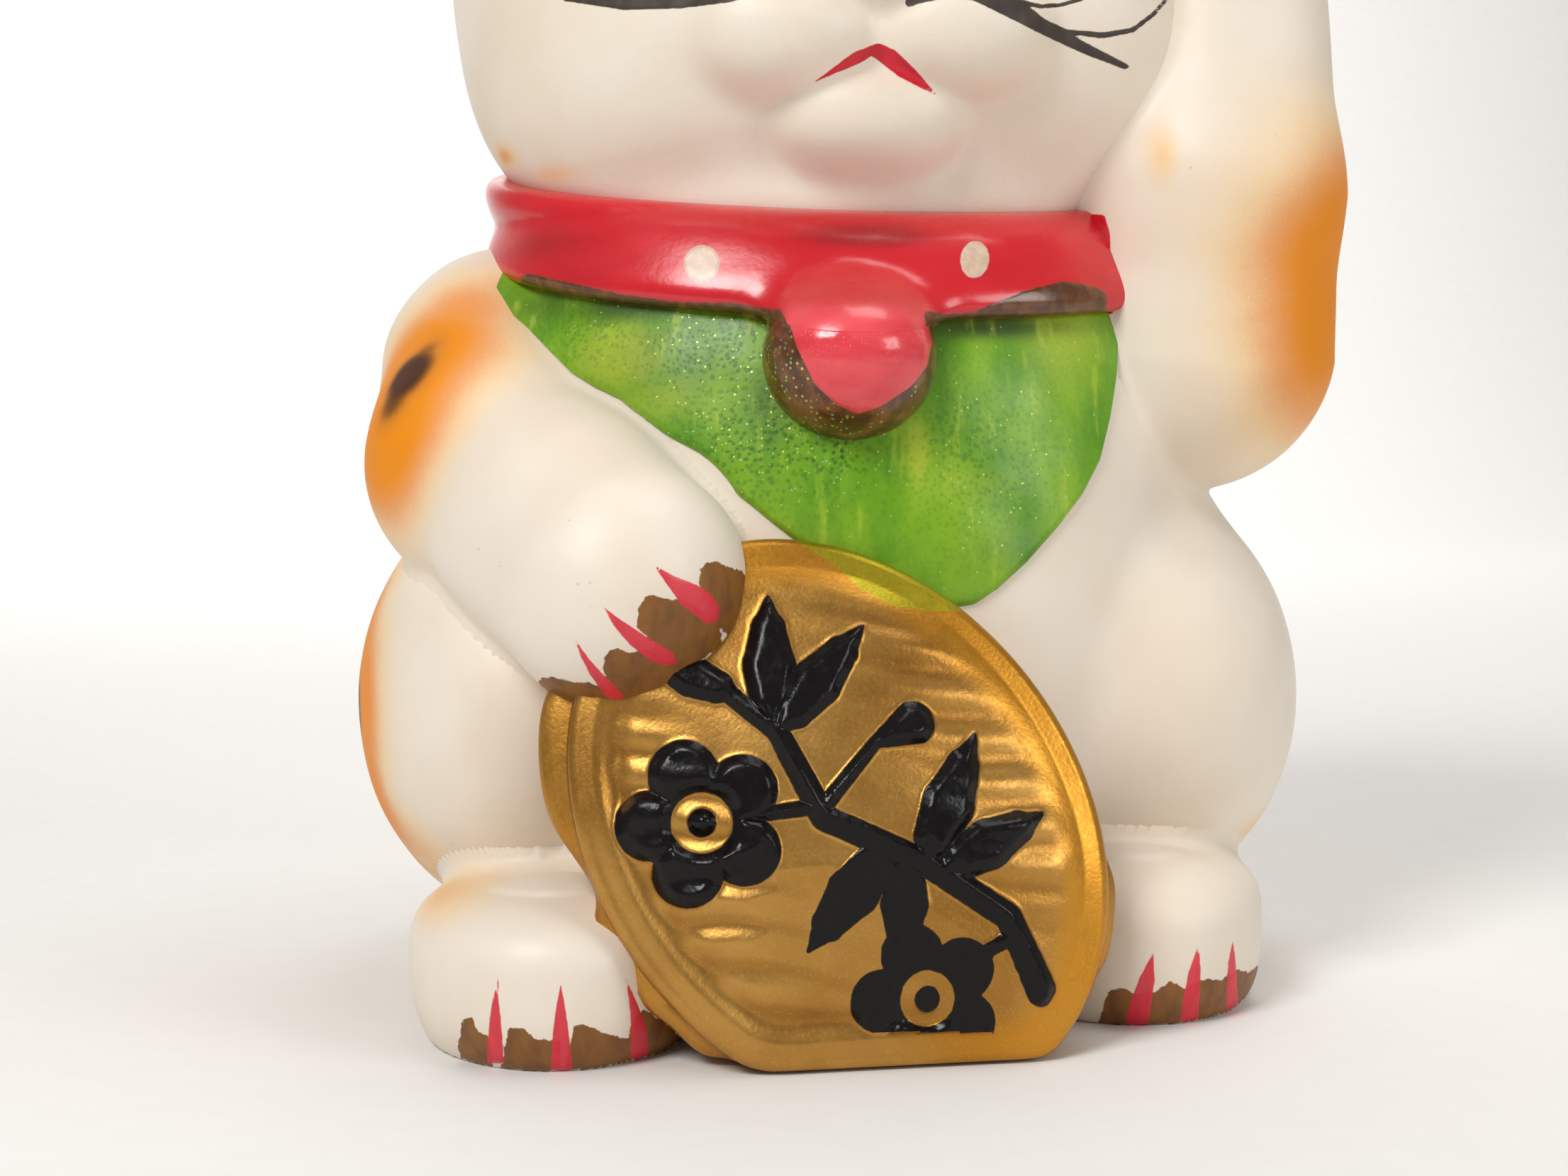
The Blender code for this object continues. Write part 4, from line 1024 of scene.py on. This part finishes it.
def blossom(q, u, w, size):
    """Five round petals about an open eye, and a dot in it."""
    d = np.full(len(q), 1e3)
    for k in range(5):
        a = 2 * math.pi * k / 5 + 0.3
        petal = np.array((u + size * 0.6 * math.sin(a), w + size * 0.6 * math.cos(a)))
        d = np.minimum(d, length(q - petal) - size * 0.42)
    eye_ring = length(q - (u, w))
    return np.minimum(np.maximum(d, size * 0.36 - eye_ring), eye_ring - size * 0.17)


def ornament(q):
    """Distance to the piped spray in the coin's plane: a bent stem, two blossoms, buds and bamboo leaves."""
    stem = stroke(q, ((6, -29, 1.9), (8, -20, 1.6), (4, -9, 1.5), (-2, 2, 1.5), (0, 13, 1.3), (-3, 25, 0.9)))
    leaves = stroke(q, *[leaf(*each) for each in (
        (0, 14, 38, 15, 6.2), (0, 13, 78, 16, 6.0), (-1, 19, -28, 12, 5.0), (4, -9, 62, 16, 6.4),
        (5, -11, 100, 14, 6.0), (2, -5, -105, 15, 6.2), (3, -7, -140, 13, 5.6),
    )])
    flowers = np.minimum(blossom(q, -13, 10, 9.6), blossom(q, -5, -21.5, 8.6))
    twigs = stroke(
        q, ((-1, 3, 1.0), (-8, 7, 0.8)), ((-1, 3, 1.0), (8, 5, 0.8), (13, 4, 2.6)), ((7, -22, 0.9), (0, -21, 0.8)),
    )
    return np.minimum.reduce([stem, leaves, flowers, twigs])


SPOKES = 400
turns = np.arange(SPOKES) * (2 * math.pi / SPOKES)
outline = coin_outline(turns)
FACE_ROWS = 117
round_off = (0.3, 0.8, 1.6, 2.6)
share = np.concatenate([np.linspace(0, 1, FACE_ROWS + 1)[1:], np.ones(len(round_off))])
drop = np.concatenate([np.zeros(FACE_ROWS), round_off])
u = share[:, None] * outline * np.sin(turns)
w = share[:, None] * outline * np.cos(turns)
inset = (1 - share[:, None]) * outline
leftward = np.clip(-np.sin(turns) * 1.2 + 0.1, 0, 1)
dome = 5.5 * (1 - np.minimum(share / 0.90, 1.0)[:, None] ** 2) + 0.5
ridge = 0.65 * np.exp(-((inset - 3.0) / 1.1) ** 2) - 0.6 * np.exp(-((inset - 5.6) / 1.3) ** 2)
bevel = -0.9 * np.exp(-(inset / 3.0) ** 2)
flatwise = coin_point(u, w, 0)
level = flatwise[..., 2]
drift = flatwise[..., 0]
bent = level + 0.16 * drift + 0.8 * np.sin(drift / 6.5 + 0.7) + 0.45 * np.sin(level / 5.2 + drift / 4.1)
wave = np.sin(2 * math.pi * bent / 4.7)
blow = 0.7 + 0.3 * np.sin(drift / 4.6 + 1.3 * np.sin(level / 5.7))
margin = np.clip((np.abs(u / COIN_WIDE) - 0.22) / 0.35, 0, 1) * np.clip((inset - 4.6) / 3, 0, 1)
dents = (0.26 + 0.16 * leftward) * wave * margin * blow
slow = 0.5 * np.sin(u / 5 + 1) * np.sin(w / 5.5 + u / 9) * np.clip(inset / 6, 0, 1)
motif = ornament(np.stack([u, w], -1).reshape(-1, 2)).reshape(u.shape)
piped = np.where(inset > 4, motif, 9.0)
swelling = np.clip((0.35 - piped) / 1.9, 0, 1)
relief = 1.15 * swelling ** 2 * (3 - 2 * swelling) + 0.08 * (piped < 0)
lip = np.clip(inset / 1.0, 0, 1) ** 0.5
out = dome + leftward * ridge + (1 - leftward) * bevel + dents + slow + relief - 0.9 * (1 - lip) - drop[:, None]
face_rows = coin_point(u, w, out)
lobes = ((322, 20, 3.4), (275, 13, 2.6), (255, 10, 1.5), (147, 12, 1.9), (110, 14, 0.8))
bulge = sum(high * np.exp(-(((np.degrees(turns) - middle) / wide) ** 4)) for middle, wide, high in lobes)
bulge += 0.25 * np.sin(9 * turns) * np.clip(bulge, 0, 1)
side_rows = [
    coin_point((outline + bulge * s) * np.sin(turns), (outline + bulge * s) * np.cos(turns), -h)
    for s, h in ((0, 2.6), (0.05, 3.3), (0.45, 3.8), (0.85, 4.2), (1.0, 5.0), (0.95, 6.4), (0.5, 7.8), (0.0, 8.8))
]
back_rows = [
    coin_point(outline * s * np.sin(turns), outline * s * np.cos(turns), -COIN_THICK) for s in (0.96, 0.6, 0.25)
]
rows = np.concatenate([face_rows, side_rows, back_rows])
rows[..., 2] = np.maximum(rows[..., 2], 0.4)
coin_bed = lambda p: np.minimum.reduce([torso(p), *[foot(p, *each) for each in FEET]])
rows[-7:] = luted(rows[-7:], coin_bed, 1.5)
coin = skin("koban", rows, first=coin_point(0, 0, out[0].mean()), last=coin_point(0, 0, -COIN_THICK))
p, n = vertices(coin)


def spread(values, fill):
    """Values of the face's rows set against all the coin's points, which run from its face to its back."""
    full = np.full((rows.shape[0], SPOKES), float(fill))
    full[:len(values)] = values
    return np.concatenate([full.reshape(-1), [values[0].mean(), fill]])


note(coin, "enamel", spread(piped, 9.0))
# Painted shade: darker where the hammered dents dip and in the groove inside the left rim, a little on the side and
# back.
note(coin, "hollow", spread(0.5 - 0.4 * wave * margin + 0.5 * leftward * np.clip(-ridge, 0, 1), 0.6))
# Painted shade: an orange tint along the right rim's bevel, weaker over the coin's side and back.
note(coin, "right_rim_shade", spread((1 - leftward) * np.exp(-((inset - 2.5) / 4.5) ** 2), 0.5))
brushed(coin, p, n, lime=[(
    (1105, 752), (1136, 771), (1180, 800), (1215, 832), (1262, 855), (1310, 862), (1356, 862), (1400, 845),
    (1400, 700), (1150, 690),
)])

gold, tree, shader = finish("bronze_gold")
where = place_in(tree)
tone = mottled(tree, where, 60.0, 5.0, 0.35, 0.7, (0.53, 0.285, 0.068), (0.39, 0.185, 0.034))
# Painted shade: darker bronze in the dents' valleys and in the rim's groove.
tone = mixed(tree, ramp(tree, kept(tree, "hollow"), 0.45, 1.0, 0.0, 0.6), tone, (0.27, 0.115, 0.018))
# Painted shade: the right rim tinted orange.
tone = mixed(tree, ramp(tree, kept(tree, "right_rim_shade"), 0.2, 1.0, 0.0, 0.8), tone, (0.62, 0.27, 0.022))
flake = put(tree, "ShaderNodeTexVoronoi", ("Vector", where), ("Scale", 5200.0))
spark = ramp(tree, put(tree, "ShaderNodeSeparateColor", ("Color", flake.outputs["Color"])).outputs[0], 0.86, 0.98)
tone = mixed(tree, times(tree, spark, 0.12), tone, (0.85, 0.60, 0.26))
lime = use(tree, "brush_edge", Distance=kept(tree, "lime"), Ragged=0.08)
tone = mixed(tree, times(tree, lime["Mask"], 0.62), tone, (0.42, 0.46, 0.02))
enamel = use(tree, "brush_edge", Distance=kept(tree, "enamel"), Ragged=0.06)
tone = mixed(tree, enamel["Mask"], tone, (0.006, 0.005, 0.005))
grain = noise(tree, where, 2400.0, 2.0)
coarse = noise(tree, where, 380.0, 4.0)
satin = plus(tree, plus(tree, times(tree, grain, 0.22), times(tree, coarse, 0.2)), 0.16)
ripple = ramp(tree, noise(tree, where, 700.0, 3.0), 0.3, 0.7, 0.12, 0.3)
rough = mixed(tree, enamel["Mask"], satin, ripple, "FLOAT")
tree.links.new(mixed(tree, enamel["Mask"], 0.82, 0.0, "FLOAT"), shader.inputs["Metallic"])
facets = plus(tree, times(tree, grain, 0.5), times(tree, coarse, 0.9))
piping = times(tree, noise(tree, where, 420.0, 3.0), 3.0)
bumps = mixed(tree, enamel["Mask"], facets, piping, "FLOAT")
dress(tree, shader, tone, rough, bumps, 0.5, 0.00012, Specular_IOR_Level=0.2)
seated(coin, "koban_coin", gold)


# Collar, a clay band laid round the neck seam and brushed with thick gloss red.
# Cream dots are dabbed on it with a stick; green lacquer from the bib laps its lower edge and dries brown there.
COLLAR_HALF = 6.0
UPHILL = np.array((math.sin(PITCH) * math.sin(TURN), -math.sin(PITCH) * math.cos(TURN), math.cos(PITCH)))


def collar_rays(heights, angles):
    """Rays in planes parallel to the neck's, the given heights above it."""
    same = np.ones(len(heights))
    start, way = axis_rays(NECK_LEVEL * same, math.tan(PITCH) * same, angles, 0.0)
    return start + np.asarray(heights)[:, None, None] * UPHILL, way


def above_neck(p):
    return (p - (0, 0, NECK_LEVEL)) @ UPHILL


def collar_thickness(share):
    """Depth of clay over the neck at a share of the band's half height: 3.8 in the middle, 0.5 at the edge."""
    return 0.5 + 3.3 * np.sqrt(1 - share ** 3)


BELL_RADIUS = 10.5
neck_front = from_outside(nape, *collar_rays([-COLLAR_HALF], np.array([0.0])))[0, 0]
bell_middle = np.array((-3.0, neck_front[1] - 13 + BELL_RADIUS, neck_front[2] - 4.5))


def bell_core(p):
    """Ball of clay, flattened above its middle, that is pressed into the chest under the collar."""
    q = p - bell_middle
    return np.sqrt(q[..., 0] ** 2 + q[..., 1] ** 2 + (q[..., 2] * np.where(q[..., 2] > 0, 1.3, 1.0)) ** 2) - BELL_RADIUS


angles = round_angles(420)
lean = np.radians(np.linspace(-90, 90, 25))
start, way = collar_rays(COLLAR_HALF * np.sin(lean), angles)
seat = from_outside(nape, start, way)
thick = collar_thickness(np.abs(np.sin(lean)))[:, None] + 0.08 * np.sin(5 * angles + 1) * np.cos(lean)[:, None]
band = from_outside(lambda p: blend(nape(p) - thick, bell_core(p), 6), start, way)
inner = (seat - way * 1.0)[::-4]
collar = skin("collar_band", np.concatenate([band, inner]), ring=True)
p, n = vertices(collar)
q = seen(p)
dots = [oval(q, (990, 372), (50, 52)), oval(q, (1375, 366), (41, 52), 0.1)]
turned = np.degrees(np.arctan2(p[:, 0], -p[:, 1]))
MM_PER_DEGREE = 0.78
hidden_dots = [
    np.hypot(((turned - a + 180) % 360 - 180) * MM_PER_DEGREE, above_neck(p)) - 2.1
    for a in (-100, -135, -170, 90, 125, 160)
]
note(collar, "dots", np.minimum(facing(p, n, np.minimum(*dots) / PIXELS), np.minimum.reduce(hidden_dots)))
brushed(collar, p, n, lapped=(
    ((735, 390), (745, 386), (791, 396), (880, 416), (962, 427), (1032, 427), (1085, 436), (1100, 520), (735, 460)),
    ((1308, 446), (1372, 441), (1443, 411), (1502, 396), (1543, 404), (1562, 414), (1560, 500), (1308, 520)),
    ((1066, 434), (1100, 436), (1109, 452), (1126, 494), (1149, 541), (1040, 540)),
    ((1302, 438), (1330, 442), (1345, 500), (1300, 540), (1312, 490)),
))
rosy = np.clip((q[:, 1] - 417) / 34, 0, 1) * np.clip((112 - np.abs(q[:, 0] - 1210)) / 16, 0, 1)
note(collar, "blush", facing(p, n, rosy, 0.0))
# Painted shadow of the chin: darker red dabs on the collar's top, strongest under the chin and weaker at the left.
note(collar, "deep", dabs(p, (at(1225, 330, -44), (9, 8, 1.6), 1.0), (at(760, 345, -25), (9, 12, 2), 0.5)))


def thick_red(tree, where):
    """Gloss red in slow streaks."""
    return mottled(tree, where, 90.0, 3.0, 0.3, 0.75, (0.64, 0.010, 0.020), (0.53, 0.006, 0.013), (0.5, 0.5, 2.0))


def thin_red(tree, where):
    """The same red brushed out thin, where the cream shows through as rose."""
    return mottled(tree, where, 160.0, 4.0, 0.35, 0.68, (0.80, 0.075, 0.090), (0.70, 0.035, 0.048), (0.6, 1, 1.6))


gloss_red, tree, shader = finish("gloss_red")
where = place_in(tree)
tone = thick_red(tree, where)
# Painted shadow of the chin: the red darkens where the chin shades the collar.
tone = mixed(tree, use(tree, "spray_and_shade", Density=kept(tree, "deep"))["Mask"], tone, (0.36, 0.004, 0.008))
tone = mixed(tree, ramp(tree, kept(tree, "blush"), 0.0, 1.0), tone, thin_red(tree, where))
lapped = use(tree, "brush_edge", Distance=kept(tree, "lapped"), Ragged=0.12)
brown = mottled(tree, where, 600.0, 4.0, 0.4, 0.65, (0.085, 0.026, 0.006), (0.16, 0.055, 0.012))
tone = mixed(tree, lapped["Mask"], tone, brown)
dot = use(tree, "brush_edge", Distance=kept(tree, "dots"), Ragged=0.05)
cream_dot = mottled(tree, where, 900.0, 3.0, 0.35, 0.65, (0.70, 0.52, 0.40), (0.60, 0.42, 0.30))
tone = mixed(tree, dot["Mask"], tone, cream_dot)
pooled = noise(tree, where, 110.0, 2.0)
rough = mixed(tree, dot["Mask"], ramp(tree, pooled, 0.3, 0.7, 0.20, 0.32), 0.42, "FLOAT")
runs = plus(tree, times(tree, pooled, 1.4), times(tree, dot["Height"], 0.8))
runs = plus(tree, runs, times(tree, lapped["Height"], 0.5))
dress(tree, shader, tone, rough, runs, 0.4, 0.0002, Coat_Weight=0.35, Coat_Roughness=0.14)
seated(collar, "collar", gloss_red)


# Bell, a ball of clay pressed into the chest under the collar.
# Its front is brushed with the collar's red; round it the red shows through glittery green lacquer as brown.
def bell_ball(p):
    """The ball run into the collar's clay, which swells to meet it and covers its top."""
    ball = bell_core(p)
    high = above_neck(p)
    clay = nape(p) - collar_thickness(np.clip(np.abs(high) / COLLAR_HALF, 0, 1))
    clay = clay + 2 * np.maximum(np.abs(high) - COLLAR_HALF, 0)
    return np.maximum(blend(ball, clay, 6), ball - 3) + 0.25 * np.clip((high + COLLAR_HALF) / 0.6, 0, 1)


BALL_RINGS, BALL_ROUND = 80, 160
polar = np.linspace(0, math.pi, BALL_RINGS + 2)[1:-1, None]
around = np.arange(BALL_ROUND) * (2 * math.pi / BALL_ROUND)
ball = np.stack(np.broadcast_arrays(np.sin(polar) * np.cos(around), np.sin(polar) * np.sin(around), -np.cos(polar)), -1)
ball_rows = luted(from_inside(bell_ball, np.broadcast_to(bell_middle, ball.shape), ball), torso, 1.5)
poles = luted(from_inside(bell_ball, np.stack([bell_middle] * 2), np.array(((0, 0, -1.0), (0, 0, 1.0)))), torso, 1.5)
bell = skin("bell_ball", ball_rows, first=poles[0], last=poles[1])
p, n = vertices(bell)
brushed(bell, p, n, rose=[(
    (1090, 300), (1104, 440), (1111, 450), (1126, 494), (1149, 541), (1179, 570), (1211, 584), (1243, 573),
    (1284, 546), (1308, 517), (1315, 482), (1305, 441), (1320, 300),
)])
note(bell, "blush", np.clip((seen(p)[:, 1] - 417) / 34, 0, 1))
note(bell, "glitz", dabs(
    p, (at(1105, 530, -50), (5, 6, 6), 1.0), (at(1165, 600, -50), (6, 6, 3.5), 0.8),
    (at(1300, 570, -50), (4, 6, 4), 0.3),
))

tree, given, far_end = group("glitter", {"Amount": 0.3, "Scale": 1700.0}, ("Mask", "Colour", "Tilt"))
where = place_in(tree)
chips = put(tree, "ShaderNodeTexVoronoi", ("Vector", where), ("Scale", given["Scale"]))
chip = put(tree, "ShaderNodeSeparateColor", ("Color", chips.outputs["Color"]))
chosen = sums(tree, "GREATER_THAN", given["Amount"], chip.outputs[0])
disc = ramp(tree, chips.outputs["Distance"], 0.26, 0.36, 1.0, 0.0)
hue = mixed(tree, chip.outputs[1], (0.78, 0.62, 0.14), (0.26, 0.66, 0.16))
hue = mixed(tree, ramp(tree, chip.outputs[2], 0.88, 0.92), hue, (0.30, 0.66, 0.60))
give(tree, far_end, Mask=times(tree, chosen, disc), Colour=hue, Tilt=times(tree, chip.outputs[1], disc))

bell_paint, tree, shader = finish("rose_over_brown")
where = place_in(tree)
rose = use(tree, "brush_edge", Distance=kept(tree, "rose"), Ragged=0.06)
brown = mottled(tree, where, 420.0, 4.0, 0.38, 0.66, (0.075, 0.022, 0.006), (0.20, 0.07, 0.02))
flecks = use(tree, "glitter", Amount=plus(tree, times(tree, kept(tree, "glitz"), 0.6), 0.04))
brown = mixed(tree, flecks["Mask"], brown, flecks["Colour"])
front_paint = mixed(tree, rose["Mask"], brown, thin_red(tree, where))
tone = mixed(tree, ramp(tree, kept(tree, "blush"), 0.0, 1.0), thick_red(tree, where), front_paint)
uneven_film = noise(tree, where, 300.0, 3.0)
rough = mixed(tree, rose["Mask"], 0.28, ramp(tree, uneven_film, 0.3, 0.7, 0.10, 0.22), "FLOAT")
bare = minus(tree, 1.0, rose["Mask"])
tree.links.new(times(tree, times(tree, flecks["Mask"], bare), 0.9), shader.inputs["Metallic"])
lumps = plus(tree, uneven_film, times(tree, flecks["Tilt"], 0.8))
lumps = plus(tree, lumps, times(tree, rose["Height"], 0.8))
dress(tree, shader, tone, rough, lumps, 0.35, 0.0002, Coat_Weight=0.35, Coat_Roughness=0.12)
seated(bell, "bell", bell_paint)


# Bib, a thick coat of green craft lacquer full of glitter, brushed on the chest under the collar.
# It is drawn as a thin domed film: its outline follows the brushed edge, and its rim sinks into the clay.
bib_edge = (
    (700, 405), (724, 446), (745, 464), (774, 494), (806, 526), (838, 546), (874, 563), (915, 599), (956, 637),
    (1009, 676), (1056, 711), (1091, 740), (1126, 767), (1180, 796), (1240, 822), (1300, 846), (1345, 858),
    (1375, 853), (1408, 831), (1449, 793), (1490, 746), (1525, 699), (1549, 652), (1563, 593), (1572, 535),
    (1575, 447), (1566, 340), (1480, 330), (1086, 330), (760, 330), (720, 360),
)
BIB_COLUMNS, BIB_TRIES, BIB_ROWS = 280, 240, 90
BIB_TOP, BIB_FALL = 3.0, 38
FILM, SUNK = 0.85, 0.05


def chest(p):
    """Torso and resting arm as the lacquer lies on them."""
    return blend(torso(p), resting_arm(p), 2.5)


# Each column is tried downwards in small steps, and ends where the chest first leaves the brushed outline.
columns = np.linspace(math.radians(-84), math.radians(50), BIB_COLUMNS)
tries = -BIB_TOP - np.linspace(0, BIB_FALL, BIB_TRIES)
laid = from_outside(chest, *collar_rays(tries, columns), 40)
inside_bib = patch(seen(laid).reshape(-1, 2), bib_edge).reshape(BIB_TRIES, BIB_COLUMNS)
left_at = np.where((inside_bib <= 0).all(0), BIB_TRIES - 1, np.argmax(inside_bib > 0, axis=0))
k = np.clip(left_at, 1, BIB_TRIES - 1)
before, after = inside_bib[k - 1, np.arange(BIB_COLUMNS)], inside_bib[k, np.arange(BIB_COLUMNS)]
past = np.clip(before / np.minimum(before - after, -1e-6), 0, 1)
reach = -tries[k - 1] + past * BIB_FALL / (BIB_TRIES - 1)
used = left_at > 3
columns, reach = columns[used], reach[used]

# The film's height is the root of its share of the way in from the lower and side edges.
down = np.linspace(0, 1, BIB_ROWS)[:, None]
start, way = collar_rays(np.zeros(BIB_ROWS), columns)
line = from_outside(chest, start - (BIB_TOP + down * (reach - BIB_TOP))[..., None] * UPHILL, way, 50)
rim = np.minimum(1, (1 - down) * (reach - BIB_TOP) / 1.1)
sides = np.minimum(np.arange(len(columns)), np.arange(len(columns))[::-1]) / 4.0
film = FILM * np.sqrt(np.clip(rim * np.clip(sides, 0, 1), 0, 1))
loop = np.concatenate([line + way * (film - SUNK)[..., None], (line - way * 0.8)[::-1]], 0)
bib = skin("bib_film", np.swapaxes(loop, 0, 1), first=line[:, 0].mean(0), last=line[:, -1].mean(0))
p, n = vertices(bib)
note(bib, "glitz", dabs(
    p,
    (at(1000, 480, -46), (9, 9, 6), 1.0),
    (at(1080, 620, -46), (10, 9, 7), 0.75),
    (at(1165, 640, -46), (5, 8, 3), 1.1),
    (at(1380, 640, -46), (9, 12, 9), 0.4),
    (at(800, 450, -38), (7, 9, 5), 0.7),
))
note(bib, "pale", dabs(
    p,
    (at(870, 500, -40), (6, 12, 4.5), 1.0),
    (at(930, 560, -42), (9, 12, 4), 0.5),
    (at(1294, 640, -48), (1.5, 8, 4.5), 0.9),
    (at(1500, 470, -40), (7, 14, 8), 0.6),
    (at(1340, 680, -46), (9, 10, 3), 0.35),
))
note(bib, "dark", dabs(
    p,
    (at(752, 415, -34), (6, 12, 3.5), 1.0),
    (at(860, 425, -40), (14, 12, 2.6), 1.0),
    (at(900, 500, -42), (15, 12, 7), 0.4),
    (at(1060, 440, -46), (10, 12, 2.5), 0.6),
    (at(1090, 560, -46), (4, 12, 6), 0.5),
    (at(1400, 460, -44), (12, 12, 1.8), 0.8),
    (at(1420, 780, -44), (9, 12, 4), 0.35),
))

lacquer, tree, shader = finish("green_lacquer")
where = place_in(tree)
brushing = noise(tree, where, 95.0, 5.0, (1.6, 1.0, 0.7))
tone = mixed(tree, ramp(tree, brushing, 0.32, 0.7), (0.095, 0.28, 0.008), (0.22, 0.42, 0.014))
tone = mixed(tree, use(tree, "spray_and_shade", Density=kept(tree, "pale"))["Mask"], tone, (0.38, 0.50, 0.035))
tone = mixed(tree, use(tree, "spray_and_shade", Density=kept(tree, "dark"))["Mask"], tone, (0.045, 0.090, 0.008))
drawn = noise(tree, where, 300.0, 3.0, (1.8, 1.0, 0.3))
tone = mixed(tree, ramp(tree, drawn, 0.56, 0.74, 0.0, 0.55), tone, (0.40, 0.54, 0.04))
sponge = put(tree, "ShaderNodeTexVoronoi", ("Vector", where), ("Scale", 1500.0), feature="SMOOTH_F1")
bubbles = ramp(tree, sponge.outputs["Distance"], 0.12, 0.5)
wetness = plus(tree, kept(tree, "glitz"), 0.12, True)
pocked = times(tree, minus(tree, 1.0, bubbles), wetness)
tone = mixed(tree, times(tree, pocked, 0.9), tone, (0.020, 0.110, 0.006))
amount = plus(tree, times(tree, kept(tree, "glitz"), 0.22), 0.012)
flecks = use(tree, "glitter", Scale=2400.0, Amount=amount)
tone = mixed(tree, times(tree, flecks["Mask"], 0.85), tone, flecks["Colour"])
rough = ramp(tree, noise(tree, where, 220.0, 4.0), 0.3, 0.7, 0.30, 0.48)
tree.links.new(times(tree, flecks["Mask"], 0.5), shader.inputs["Metallic"])
lumps = plus(tree, times(tree, bubbles, 0.8), times(tree, flecks["Tilt"], 0.6))
lumps = plus(tree, times(tree, lumps, wetness), times(tree, brushing, 0.8))
dress(
    tree, shader, tone, rough, lumps, 0.35, 0.00015, Specular_IOR_Level=0.3, Coat_Weight=0.15, Coat_Roughness=0.2,
)
seated(bib, "bib", lacquer)


# Stopper, moulded in soft translucent plastic and pushed into the base.
# It pulls straight down; its flange is scuffed by fingernails and by the table's dust.
bung, tree, shader = finish("soft_bung")
where = place_in(tree)
cloudy = noise(tree, where, 160.0, 4.0)
scuffs = ramp(tree, noise(tree, where, 420.0, 5.0, (1, 0.15, 1)), 0.58, 0.68)
tone = mixed(tree, cloudy, (0.70, 0.69, 0.64), (0.60, 0.58, 0.52))
tone = mixed(tree, times(tree, scuffs, 0.5), tone, (0.42, 0.38, 0.32))
rough = ramp(tree, cloudy, 0.3, 0.7, 0.38, 0.55)
dress(tree, shader, tone, rough, scuffs, 0.3, 0.0001, Subsurface_Weight=0.15, Subsurface_Scale=0.002)
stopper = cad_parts["base_stopper"]
for slot in stopper.material_slots:
    slot.material = bung


bpy.context.view_layer.update()
